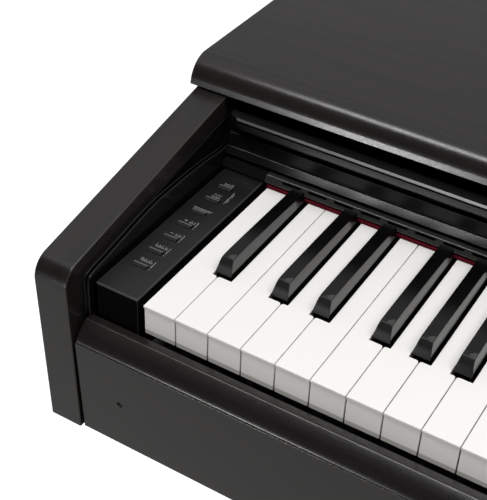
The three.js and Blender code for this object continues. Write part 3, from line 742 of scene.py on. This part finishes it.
def blackKeyShell(key):
    # a cap with sloping sides that tuck under, a curved front and cut corners, over a lever
    look = blackLook
    middle = key["middle"] + look["shift"]
    high, low, foot = look["height"], look["cap"], look["foot"]
    front = look["front"]

    def half(z):
        return look["baseHalf"] + (look["topHalf"] - look["baseHalf"]) * z / high

    right = [(half(foot), foot), (half(low), low), (half(high - 0.35), high - 0.35),
             (half(high) - 0.3, high), (0.6, high + 0.2)]
    section = [(middle + x, z) for x, z in right + [(-x, z) for x, z in reversed(right)]]
    bm = bmesh.new()
    prism(bm, section, front[0][0] - 2, look["back"], "y")
    for (y0, z0), (y1, z1) in zip(front, front[1:]):
        trim(bm, spot(0, y0, z0), (0, z0 - z1, y1 - y0))
    trim(bm, spot(0, front[-1][0], high + 0.15),
         (0, look["fall"], look["back"] - front[-1][0]))
    a, b, c = (Vector(point) for point in look["facet"])
    lean = (b - a).cross(c - a).normalized()
    lean *= 1 if lean.z > 0 else -1
    for sign in (-1, 1):
        trim(bm, spot(middle + sign * a.x, a.y, a.z), (sign * lean.x, lean.y, lean.z))
    trim(bm, spot(0, look["back"] - 0.7, high - look["fall"]), (0, 0.6, 0.8))
    score(bm, front[0][0] + look["apron"])
    for vert in bm.verts:
        place = (vert.co - origin) / mm
        if place.z < low - 0.1 and place.y > front[0][0] + look["apron"] - 0.1:
            vert.co.x -= math.copysign(look["tuck"] * mm, place.x - middle)
    bmesh.ops.recalc_face_normals(bm, faces=bm.faces)
    layer = bm.faces.layers.float.new("wear_and_sheen")
    for face in bm.faces:
        # painted sheen on the sides and a painted glint on the right top corner
        if abs(face.normal.x) > 0.8 and face.material_index == 0:
            face[layer] = look["sideSheen"]
        if abs(Vector((abs(face.normal.x), face.normal.y, face.normal.z)).dot(lean)) > 0.9995:
            face[layer] = look["facetGlint"][face.normal.x > 0]
        # the tucked sides below the cap take the near-black finish: painted shade
        if (face.calc_center_median().z - origin.z) / mm < low - 0.5 and abs(face.normal.x) > 0.5:
            face.material_index = 1
    ends = [e for e in bm.edges if len(e.link_faces) == 2 and e.calc_face_angle(0) > math.radians(28)]
    made = bmesh.ops.bevel(bm, geom=ends, offset=look["edge"] * mm, segments=2, profile=0.5,
                           affect="EDGES", clamp_overlap=True)
    for face in made["faces"]:
        face[layer] = 0
    near, far = look["polished"]
    sideNear, sideFar = look["sideDullAndShade"]
    for y in (near, far, sideNear, sideFar):
        score(bm, y)
    polish = bm.loops.layers.float.new("polish")
    for face in bm.faces:
        face.normal_update()
        for loop in face.loops:
            y = (loop.vert.co.y - origin.y) / mm
            reach, sideReach = (far - y) / (far - near), (sideFar - y) / (sideFar - sideNear)
            side, nose = abs(face.normal.x) > 0.8, face.normal.y < -0.4
            loop[polish] = sideReach if side else look["nosePolish"] if nose else reach
        # the front takes a painted sheen; the sides behind sideNear lose theirs, as painted shade
        # towards the felt
        if face.normal.y < -0.4 and face[layer] == 0:
            face[layer] = look["noseSheen"]
        if abs(face.normal.x) > 0.8 and face.calc_center_median().y > spot(0, sideNear, 0).y:
            face[layer] = 0
    base = half(foot) - look["tuck"] - 0.1
    # the lever under the cap takes the near-black finish: painted shade
    for face in block(bm, middle - base, middle + base, front[0][0] + 0.8, look["back"] - 0.3,
                      keyLook["leverBottom"], foot + 1):
        face.material_index = 1
    return bm


noteNames = ["A", "As", "B", "C", "Cs", "D", "Ds", "E", "F", "Fs", "G", "Gs"]
soloNodes = ["key_A0", "key_Asharp0", "key_B0", "key_C1", "key_Csharp1", "key_D1", "key_Dsharp1",
             "key_E1", "key_F1", "key_Fsharp1", "key_G1", "key_Gsharp1"]
firstOfRun = {}
for key in keys:
    note = key["note"]
    name = f"note_{note + 1:02d}_{noteNames[note % 12]}"
    if note < len(soloNodes):
        body, node = bodyOf[soloNodes[note]], soloNodes[note]
    else:
        run = "middle" if note < 48 else "treble"
        body = f"{run}_keys"
        node = f"{run}_black_keys" if key["black"] else f"{run}_white_keys"
    standsFor = [] if node in firstOfRun else [node]
    firstOfRun[node] = name
    if key["black"]:
        show(name, blackKeyShell(key), body, blackResin, standsFor, shadeBlack)
    else:
        show(name, whiteKeyShell(key), body, whiteResin, standsFor, shadedKeyResin)
print("keys built")


x0, x1, y0, y1, z0, z1 = span("key_felt")
# mm between cross sections, how uneven the wool is, and how tall it stands
feltLook = {"length": 6.0, "wobble": 0.2, "tall": 2.0}
random.seed(7)
bm = bmesh.new()
steps = int((x1 - x0) / feltLook["length"])
rings = []
for i in range(steps + 1):
    x = x0 + (x1 - x0) * i / steps
    ring = []
    top = z0 + feltLook["tall"]
    for y, z in rounded([(y0, z0), (y1, z0), (y1, top), (y0, top)], [0.3, 0.3, 0.7, 0.7], 2):
        wobble = [random.uniform(-1, 0) * feltLook["wobble"] for _ in range(2)]
        ring.append(bm.verts.new(spot(x, y - wobble[0] * 0.5, z + wobble[1])))
    rings.append(ring)
for a, b in zip(rings, rings[1:]):
    bridge(bm, a, b)
bm.faces.new(rings[0])
bm.faces.new(rings[-1])
bmesh.ops.recalc_face_normals(bm, faces=bm.faces)
show("felt_strip", bm, "console", felt, ["key_felt"])


stripLook = {
    "half": 613,
    "slotWidth": 15.0,
    "slotPitch": 20.367,
    "slotRadius": 0.9,
    "slotHalf": 1.0,
    "slotAt": 0.66,  # how far up the slant the slots' middles are
    "count": 60,
    "first": 11.0,  # left end of the first slot, from the first key's edge
    "low": (151.0, 4.3),
    "high": (153.8, 9.0),
    "thick": 1.4,
    "liner": [(154.0, 4.6), (155.6, 7.9), (157.2, 7.4), (155.6, 4.3)],  # a near-black sheet behind the slots: painted shade
}


def slottedStrip():
    look = stripLook
    x0, x1, _, y1, _, _ = span("slotted_strip")
    low, high = Vector(look["low"]), Vector(look["high"])
    slant = (high - low).normalized()
    inward = Vector((slant.y, -slant.x)) * look["thick"]
    section = [tuple(low), tuple(high), (y1, high.y), (y1, high.y - 2),
               tuple(high + Vector((1.6, -2))),
               tuple(low + inward)]
    bm = moulding(section, -look["half"], look["half"], 0.3, 40, 2)
    ends = bmesh.new()
    for near, far in ((x0, -look["half"] - 0.2), (look["half"] + 0.2, x1)):
        prism(ends, section, near, far, "x")
    show("strip_ends", ends, "console", mattBlack)
    cutter = bmesh.new()
    middle = low + (high - low) * look["slotAt"]
    tall = look["slotHalf"]
    for n in range(look["count"]):
        left = -keySpan / 2 + look["first"] + n * look["slotPitch"]
        right = left + look["slotWidth"]
        plan = rounded([(left, -tall), (right, -tall), (right, tall), (left, tall)],
                       [look["slotRadius"]], 3)
        rings = []
        for depth in (-1.5, look["thick"] + 0.8):
            ring = []
            for x, along in plan:
                yz = middle + slant * along + inward.normalized() * depth
                ring.append(cutter.verts.new(spot(x, yz.x, yz.y)))
            rings.append(ring)
        bridge(cutter, *rings)
        cutter.faces.new(rings[0])
        cutter.faces.new(rings[1])
    bmesh.ops.recalc_face_normals(cutter, faces=cutter.faces)
    bm = carve(bm, cutter)
    show("vent_strip", bm, "console", stripPlastic, ["slotted_strip"])


rearLook = {
    "foot": (156.5, 12.2),
    "bandTop": (158.2, 18.3),  # the leaning band along the bottom ends here
    "groove": (160.8, 17.6),
    "face": 160.3,  # the upright face above the groove
    "thick": 3.6,
    "bead": 0.7,  # radius of the bead that ends the upright face
    "ledge": (158.0, 2.2),  # where the foot under the band starts, and how thick it is
}


def bandSection():
    look = rearLook
    _, _, _, y1, z0, _ = span("rear_panel")
    foot, top, groove = look["foot"], look["bandTop"], look["groove"]
    ledge, thin = look["ledge"]
    return [(y1, z0), (ledge, z0), (foot[0], foot[1] + 0.2), (top[0], top[1] - 0.4),
            (top[0] + 0.4, top[1]), groove, (groove[0] + 3, groove[1]),
            (groove[0] + 3, z0 + thin), (y1, z0 + thin)]


slottedStrip()
x0, x1, _, _, z0, z1 = span("rear_panel")
show("panel_band", moulding(bandSection(), x0, x1, 0.35, 40, 2), "console",
     buffed, ["rear_panel"])
bm = bmesh.new()
face, bottom = rearLook["face"], rearLook["groove"][1]
block(bm, x0, x1, face, face + rearLook["thick"], bottom, z1)
soften(bm, 0.5, 40, 3)
bead, tall = rearLook["bead"], z1 - bottom
for x in (x0 + 1, x1 - 1):
    turned(bm, (x, face + 0.3, bottom), [(0, 0), (bead, 0.3), (bead, tall - 0.6), (0, tall - 0.2)],
           16)
show("panel_upright", bm, "console", dullRail)
x0, x1 = span("slotted_strip")[:2]
# near-black sheet behind the slots: painted shade
show("shade_liner", moulding(stripLook["liner"], x0 + 2, x1 - 2), "console",
     shadeBlack)
print("strip and rear panel built")


coverLook = {
    "railDepth": 12.4,  # the grip rail along the front edge
    "chamfer": (155.95, 42.6, 157.4, 43.8),  # its bright top edge, from y, z to y, z
    "groove": (1.1, 1.0),  # how far back and down the dark groove under it goes
    "lipTop": 40.9,
    "lipFoot": 35.8,
    "lipLean": 1.45,
    "underside": 37.8,
    "corner": (10.4, 6.5),  # the rail's ends are cut back this far along and this far in depth
    "plateTop": 41.0,
    "pin": (168, 41.14, 2.2),  # y, z and radius of the pins at the plate's ends
    "bar": (344, 43),  # middle of the guide bar, as y, z
    "knuckle": 5.2,  # the plate curls round the bar at this radius
    "bore": 3.55,  # and turns on it in this hole
}


def railSection():  # chamfered edge, fine groove, leaning lip, and a slightly hollow top
    look = coverLook
    y0, z0 = span("key_cover")[2], look["underside"]
    ya, za, yb, zb = look["chamfer"]
    back = y0 + look["railDepth"]
    section = [(back, z0), (y0 + 3.8, z0), (y0 + 3.4, look["lipFoot"])]
    section += bend((y0 + 1.6, look["lipFoot"] - 0.2), (y0 + 0.1, look["lipFoot"] - 0.2),
                    (y0 + 0.2, look["lipFoot"] + 1.4), 5)
    deep, down = look["groove"]
    section += [(y0 + look["lipLean"], look["lipTop"]), (ya + deep, look["lipTop"] - down),
                (ya + deep, za - 0.25), (ya, za), (yb, zb)]
    section += bend((yb + 1.0, zb - 0.25), (back - 4, zb - 0.75), (back - 0.6, zb - 0.1), 8)
    section.append((back, zb - 0.6))
    return section


def plateSection():
    look = coverLook
    (barY, barZ), knuckle = look["bar"], look["knuckle"]
    front = span("key_cover")[2] + look["railDepth"] - 1.5
    top = look["plateTop"]
    join = 180 + math.degrees(math.asin((barZ - top) / knuckle))
    return ([(barY, barZ - knuckle), (front, barZ - knuckle), (front, top)]
            + arc(barY, barZ, knuckle, join, -90, 30)[:-1])


x0, x1, y0, y1, z0, z1 = span("key_cover")
plateX0, plateX1 = x0 + 4, x1 - 4  # the pins stand out past the plate
corners = bmesh.new()
along, deep = coverLook["corner"]
for outer, inner in ((plateX0 - 1, plateX0 + along), (plateX1 + 1, plateX1 - along)):
    prism(corners, [(outer, y0 - 2), (inner, y0 - 2), (inner, y0), (outer, y0 + deep)],
          z0 - 5, z1 + 5, "z")
bm = carve(moulding(railSection(), plateX0, plateX1), corners)
soften(bm, 0.18, 50, 2)
layer = bm.faces.layers.float.get("wear_and_sheen")
for face in bm.faces:
    face.normal_update()
    high = (face.calc_center_median().z - origin.z) / mm
    face.material_index = 1 if high < coverLook["lipTop"] and face.normal.y < -0.5 else 0
    # the chamfer's faces take the paler colour: a painted highlight along the rail's bright edge
    if high > coverLook["chamfer"][1] and face.normal.y < -0.4:
        face[layer] = 1
show("cover_grip_rail", bm, "cover", satin, ["key_cover"], dullRail)
bore = arc(*coverLook["bar"], coverLook["bore"], 0, 345, 23)
bm = carve(moulding(plateSection(), plateX0, plateX1), moulding(bore, plateX0 - 1, plateX1 + 1))
soften(bm, 0.3, 50, 2)
for x in (plateX0 - 4, plateX1 - 6):
    prism(bm, arc(*coverLook["pin"], 0, 337.5, 15), x, x + 10, "x")
show("cover_plate", bm, "cover", gloss)

trackLook = {
    "rimFront": 8.5,
    "rise": 0.1794,
    "ledge": 38.7,
    "bend": 5,
    "edge": 0.3,
    "lining": 0.5,  # a near-black lining against the arm: painted shade on the arm's inner face
    "lip": 1.3,  # the lip that stands nearest the keys
    "slot": 2.0,  # the cover's pins run in this slot, behind the lip
    "channel": 8,
    "toe": (-23.6, -1.7),  # the front foot's lower edge and its back
    "lipLine": [(2, 8.9), (17, 11.2), (30, 13.6), (50, 17.2), (62, 19.1), (74, 20.4), (95, 20.5),
                (115, 20.2), (130, 19.3), (150, 17.0), (158, 17.2)],  # its upper edge
}


def trackBack(inset):  # the outline that lining and lip share: under the foot, then back and up
    look = trackLook
    _, _, y0, y1, z0, _ = span("left_cover_track")
    toeZ, toeY = look["toe"]
    top = look["ledge"]
    return [(y0 + inset, toeZ), (toeY + inset, toeZ), (toeY + inset, z0), (y1, z0), (y1, top),
            ((top - look["rimFront"]) / look["rise"], top)]


def liningSection():
    look = trackLook
    y0, turn = span("left_cover_track")[2], trackLook["bend"]

    def rim(y):
        return look["rimFront"] + look["rise"] * y

    return trackBack(0) + bend((y0 + turn + 1, rim(y0 + turn + 1)), (y0, rim(y0)),
                               (y0, rim(y0) - turn), 10)


def lipSection(lower, inset):
    y0 = span("left_cover_track")[2]
    line = [(y, z - lower) for y, z in trackLook["lipLine"]]
    lastY, lastZ = line[0]
    return trackBack(inset) + line[::-1] + bend(
        (lastY - 1 + inset, lastZ - 0.4), (y0 + inset, lastZ - 1.5), (y0 + inset, lastZ - 6), 8)


for side, sign in (("left", -1), ("right", 1)):
    outer = abs(span(f"{side}_cover_track")[0 if side == "left" else 1])
    inner = abs(span(f"{side}_cover_track")[1 if side == "left" else 0])
    lining, lip = outer - trackLook["lining"], inner + trackLook["lip"]
    # the lining is near-black: painted shade
    show(f"{side}_lining", moulding(liningSection(), sign * outer, sign * lining, 0.15, 60, 2),
         "console", shadeBlack)
    bm = bmesh.new()
    prism(bm, lipSection(0, 0), sign * lip, sign * inner, "x")
    prism(bm, lipSection(0, 0.4), sign * lining, sign * (lip + trackLook["slot"]), "x")
    soften(bm, trackLook["edge"], 40, 3)
    for face in bm.faces:
        if face.normal.z > 0.9:
            face.material_index = 1
    prism(bm, lipSection(trackLook["channel"], 1.5), sign * lining, sign * (lip - 0.2), "x")
    show(f"{side}_rail", bm, "console", gloss, [f"{side}_cover_track"], mattBlack)
print("cover built")


blockLook = {
    "edge": 0.7,
    "top": 3,
    "plate": 2.0,  # thickness of the top plate, which overhangs the body by the next number
    "over": 0.5,
    "wall": 2.5,
    "riser": 156.5,  # the plate steps up from here on
    "backTop": 7.7,
    "sliderSlot": (1.9, 1.6, 34.4),  # half its width, its start, and how far past the knob it ends
    "powerMargin": 1.2,
}


def endBlock(node, holes):
    look = blockLook
    x0, x1, y0, y1, z0, _ = span(node)
    top, under, over = look["top"], look["top"] - look["plate"], look["over"]
    section = [(y0, under), (y1, under), (y1, look["backTop"]), (look["riser"], look["backTop"]),
               (look["riser"], top), (y0, top)]
    cutter = bmesh.new()
    for hole in holes:
        block(cutter, *hole, -1, top + 2)
    bm = carve(moulding(section, x0, x1, look["edge"]), cutter)
    # the cap's rear riser takes the duller, darker matt black: painted shade under the board
    for face in bm.faces:
        if (face.calc_center_median().y - origin.y) / mm > look["riser"] - 1:
            face.material_index = 1
    show(f"{node}_cap", bm, "console", panel, [node], mattBlack)
    # the body under the cap is near-black: painted shade on the block's front
    bm = bmesh.new()
    block(bm, x0 + over, x1 - over, y0 + over, y1, z0, under + 0.1)
    soften(bm, 0.4)
    cutter = bmesh.new()
    wall = look["wall"]
    block(cutter, x0 + wall, x1 - wall, y0 + wall, y1 - wall, z0 - 1, top)
    show(f"{node}_body", carve(bm, cutter), "console", shadeBlack)


buttonLook = {
    "slope": (-1.9, 0.2),  # the front slope, near-black as painted shade, runs from here to here, from the button's middle
    "rear": 1.3,
    "edge": 0.15,
    "foot": 1.2,  # the bar is this much narrower each side than its foot
    "low": 1.2,  # and starts this far up it
    "hole": (0.9, 2.1),  # how far in from a button's ends its hole is, and half how deep it is
}
buttons = [f"panel_button_{i}" for i in range(1, 8)]
holes = []
for node in buttons:
    x0, x1, y0, y1, _, _ = span(node)
    (margin, half), middle = buttonLook["hole"], (y0 + y1) / 2
    holes.append((x0 + margin, x1 - margin, middle - half, middle + half))
endBlock("left_end_block", holes)
x0, x1, y0, y1, _, _ = span("volume_slider")
middleX = (x0 + x1) / 2
powerX0, powerX1, powerY0, powerY1, _, _ = span("power_button")
(half, start, more), margin = blockLook["sliderSlot"], blockLook["powerMargin"]
endBlock("right_end_block", [
    (middleX - half, middleX + half, y0 + start, y1 + more),
    (powerX0 + margin, powerX1 - margin, powerY0 + margin, powerY1 - margin),
])


def buttonShell(node):  # a bar with a narrow flat top painted pale as a highlight, and a slope towards the player painted near-black as shade
    x0, x1, y0, y1, z0, z1 = span(node)
    top, foot = blockLook["top"], buttonLook["foot"]
    middle = (y0 + y1) / 2
    start, end = (middle + d for d in buttonLook["slope"])
    rear = middle + buttonLook["rear"]
    low = z0 + buttonLook["low"]
    section = [(start - 0.1, low), (rear, low), (rear, z1), (end, z1), (start, top + 0.1)]
    bm = moulding(section, x0 + foot, x1 - foot, buttonLook["edge"], 40, 2)
    layer = bm.faces.layers.float.get("wear_and_sheen")
    for face in bm.faces:
        face.normal_update()
        # the top is painted pale as a highlight and the front slope near-black as painted shade
        face[layer] = 1 if face.normal.z > 0.8 else 0
        face.material_index = 1 if face.normal.y < -0.3 else 0
    block(bm, x0, x1, y0, y1, z0, low + 0.2)
    return bm


for node in buttons:
    show(f"{node}_bar", buttonShell(node), bodyOf[node], button, [node],
         shadeBlack)
softened("power_button", 0.5, angle=40)
softened("volume_slider", 0.6)


# Pad-printed marks behind the buttons: strokes from x, y to x, y, in mm from a button's middle,
# and level meters as x, y and the heights of their bars. None of them is lettering.
hook = [(-3.4, 4.9, -3.4, 8.0), (6.9, 1.7, 6.9, 8.0), (6.3, -0.7, 7.6, -0.7), (6.3, 1.7, 7.6, 1.7)]
smallHook = [(6.9, 0.9, 6.9, 6.9), (5.9, 6.9, 6.9, 6.9), (6.3, -0.6, 7.6, -0.6)]
markLook = {
    "stroke": 0.32,
    "thick": 0.05,
    "barPitch": 1.2,
    "ring": 1.9,  # radius of the power mark
    "ticks": 7,
    "tickPitch": 6.2,
    "tick": (5.4, 7.0, 8.2),  # a tick's start, a short one's end and an end one's end
    "strokes": [
        hook,
        hook,
        smallHook + [(-3.4, 5.2, -0.8, 5.2)],
        smallHook + [(-3.4, 5.2, -0.8, 5.2), (-2.1, 3.9, -2.1, 6.5)],
        [(-6.4, 4.8, 8.2, 4.8)],
        [(8.6, 1.5, 8.6, 15.5), (8.0, 1.5, 8.6, 1.5), (8.0, 15.5, 8.6, 15.5)],
        [],
    ],
    "meters": [
        [(-2.3, 4.6, (3.2, 2.2, 3.2, 1.4, 2.6, 3.2, 1.8))],
        [(-2.3, 4.6, (1.6, 3.2, 2.4, 3.2, 1.4, 3.2, 2.6))],
        [(1.2, 3.6, (3.0, 1.6, 3.0, 2.2))],
        [(1.2, 3.6, (2.0, 3.0, 1.4, 3.0))],
        [(-5.6, 3.0, (1.2, 1.6, 0.8, 1.6, 1.2, 1.6, 0.8, 1.4, 1.6, 1.0, 1.6))],
        [(-2.6, 3.4, (2.8, 1.6, 3.0, 2.2, 2.8, 1.4)), (-2.0, 7.0, (1.4, 0.8, 1.4, 1.0, 1.4)),
         (9.6, 3.2, (4.0,)), (9.6, 9.4, (4.2,))],
        [(-2.6, 3.4, (2.8, 2.0, 3.0, 1.4, 2.6, 3.0))],
    ],
}


def stroke(bm, x0, y0, x1, y1, level):
    start, end = Vector((x0, y0)), Vector((x1, y1))
    side = (end - start).normalized().orthogonal() * markLook["stroke"] / 2
    outline = [tuple(start + side), tuple(start - side), tuple(end - side), tuple(end + side)]
    prism(bm, outline, level - 0.02, level + markLook["thick"], "z")


bm = bmesh.new()
for node, strokes, meters in zip(buttons, markLook["strokes"], markLook["meters"]):
    x0, x1, y0, y1, _, _ = span(node)
    middle = Vector(((x0 + x1) / 2, (y0 + y1) / 2))
    lines = list(strokes)
    for x, y, bars in meters:
        for i, tall in enumerate(bars):
            along = x + i * markLook["barPitch"]
            lines.append((along, y, along, y + tall))
    for ax, ay, bx, by in lines:
        stroke(bm, middle.x + ax, middle.y + ay, middle.x + bx, middle.y + by, blockLook["top"])
show("button_marks", bm, "console", ink)

# the usual stroke-in-a-ring by the power button, and a scale beside the volume slider
bm = bmesh.new()
x, y = (powerX0 + powerX1) / 2, powerY1 + 4
ring = arc(x, y, markLook["ring"], 125, 415, 14)
for (ax, ay), (bx, by) in zip(ring, ring[1:]):
    stroke(bm, ax, ay, bx, by, blockLook["top"])
stroke(bm, x, y + 0.2, x, y + 2.4, blockLook["top"])
ticks = markLook["ticks"]
start, shortEnd, longEnd = markLook["tick"]
for i in range(ticks):
    y = y0 + 4 + i * markLook["tickPitch"]
    end = longEnd if i in (0, ticks - 1) else shortEnd
    stroke(bm, middleX + start, y, middleX + end, y, blockLook["top"])
show("slider_marks", bm, "console", ink)
print("controls built")

# the stand, the sockets and the rest's prop keep their plain shapes with rounded edges: how far,
# the finish, the least angle that counts as an edge, and the steps in the rounding
standLook = {
    "left_leg": (0.9, filmZ), "right_leg": (0.9, filmZ),
    "left_foot": (1.2, filmY), "right_foot": (1.2, filmY),
    "back_board": (0.9, filmX), "pedal_box": (0.9, filmX),
    "left_pedal": (2.6, None, 40, 5), "middle_pedal": (2.6, None, 40, 5),
    "right_pedal": (2.6, None, 40, 5),
    "jack_box": (0.8,),
    "terminal_plate": (0.3, None, 30, 1),
    "height_adjuster": (0.5, None, 30, 2),
    "music_rest_prop": (0.8,),
}
for node, finish in standLook.items():
    softened(node, *finish)
print("stand built")


studio = {
    "floor": "#eeeeec",
    "floorPale": "#f7f7f5",  # the paper's tooth runs between these two
    "floorTint": "#cfcfcd",  # what the floor gives back to the object's undersides and fronts
    "floorLift": 0.55,  # keeps the paper white to the eye; the shadow stays
    "paperReach": 12,  # metres to each side and behind
    "paperFront": -2.1,  # the paper ends here, in front of the player's side
    "front": 0.03,  # how bright the room is above the player's side
    "behind": 0.42,
    "above": 0.72,
    # as parts of a direction: where the front's dimness fades out, and where the wall does
    "frontFade": (-0.32, -0.10),
    "wallFade": (0.66, 0.78),
    "lamps": {
        "overhead softbox": {"place": (0.33, -0.05, 2.6), "aim": (-0.1, -0.05, 0.74),
                             "size": (1.15, 1.1), "power": 20.5},
        "strip softbox": {"place": (-0.85, -0.84, 2.75), "aim": (-0.55, -0.03, 0.80),
                          "size": (1.3, 0.37), "power": 19},
        "low front panel": {"place": (-1.35, -2.6, 0.45), "aim": (-0.7, -0.2, 0.6),
                            "size": (0.8, 0.86), "power": 5.6},
        "low bright panel": {"place": (-1.42, -2.6, 0.30), "aim": (-0.7, -0.2, 0.6),
                             "size": (0.46, 0.42), "power": 11},
    },
}


def addFloor():
    # seamless white paper with a faint tooth
    material, tree, shader, place = startMaterial("matt white paper", {"IOR": 1.4})
    tooth = addNode(tree, "ShaderNodeTexNoise", {"Scale": perMetre(2), "Detail": 3.0},
                    {"Vector": place})
    ray = addNode(tree, "ShaderNodeLightPath").outputs["Is Camera Ray"]
    seen = addNode(tree, "ShaderNodeValToRGB", {
        "stops": [(0.3, studio["floor"]), (0.7, studio["floorPale"])]}, {"Fac": tooth})
    colour = addNode(tree, "ShaderNodeMixRGB", {"Color1": linear(studio["floorTint"])},
                     {"Fac": ray, "Color2": seen})
    finishWith(tree, shader, colour, (tooth, 0.85, 0.95), [(tooth, 0.05)])
    lift = addNode(tree, "ShaderNodeMath", {"operation": "MULTIPLY", 1: studio["floorLift"]},
                   {0: ray})
    shader.inputs["Emission Color"].default_value = (1, 1, 1, 1)
    tree.links.new(lift.outputs[0], shader.inputs["Emission Strength"])
    mesh = bpy.data.meshes.new("floor")
    reach, front = studio["paperReach"], studio["paperFront"]
    mesh.from_pydata([(-reach, front, 0), (reach, front, 0), (reach, reach, 0),
                      (-reach, reach, 0)], [], [(0, 1, 2, 3)])
    mesh.materials.append(material)
    floor = bpy.data.objects.new("floor", mesh)
    bpy.context.scene.collection.objects.link(floor)


def addLamp(name, look):
    data = bpy.data.lights.new(name, "AREA")
    data.shape = "RECTANGLE"
    data.size, data.size_y = look["size"]
    data.energy = look["power"]
    lamp = bpy.data.objects.new(name, data)
    lamp.location = look["place"]
    lamp.rotation_euler = (Vector(look["aim"]) - lamp.location).to_track_quat("-Z", "Y").to_euler()
    bpy.context.scene.collection.objects.link(lamp)


def addWorld():
    # white behind and to the eye; dimmer on the player's side, as a studio is
    world = bpy.data.worlds.new("studio")
    bpy.context.scene.world = world
    world.use_nodes = True
    tree = world.node_tree
    tree.nodes.clear()
    way = addNode(tree, "ShaderNodeTexCoord").outputs["Generated"]
    axes = addNode(tree, "ShaderNodeSeparateXYZ", links={"Vector": way}).outputs
    start, end = studio["wallFade"]
    behind = addNode(tree, "ShaderNodeMapRange", {
        "From Min": start, "From Max": end, "To Min": studio["behind"], "To Max": studio["above"]},
        {"Value": axes["Z"]})
    start, end = studio["frontFade"]
    away = addNode(tree, "ShaderNodeMapRange", {"From Min": start, "From Max": end},
                   {"Value": axes["Y"]})
    level = addNode(tree, "ShaderNodeMix", {"data_type": "FLOAT", "A": studio["front"]},
                    {"Factor": away, "B": behind})
    ray = addNode(tree, "ShaderNodeLightPath").outputs["Is Camera Ray"]
    strength = addNode(tree, "ShaderNodeMix", {"data_type": "FLOAT", "B": 1.0},
                       {"Factor": ray, "A": level})
    background = addNode(tree, "ShaderNodeBackground", {"Color": (1, 1, 1, 1)},
                         {"Strength": strength})
    addNode(tree, "ShaderNodeOutputWorld", links={"Surface": background})


addFloor()
for lampName, lampLook in studio["lamps"].items():
    addLamp(lampName, lampLook)
addWorld()
bpy.context.scene.view_settings.view_transform = "Standard"
print("studio lit")
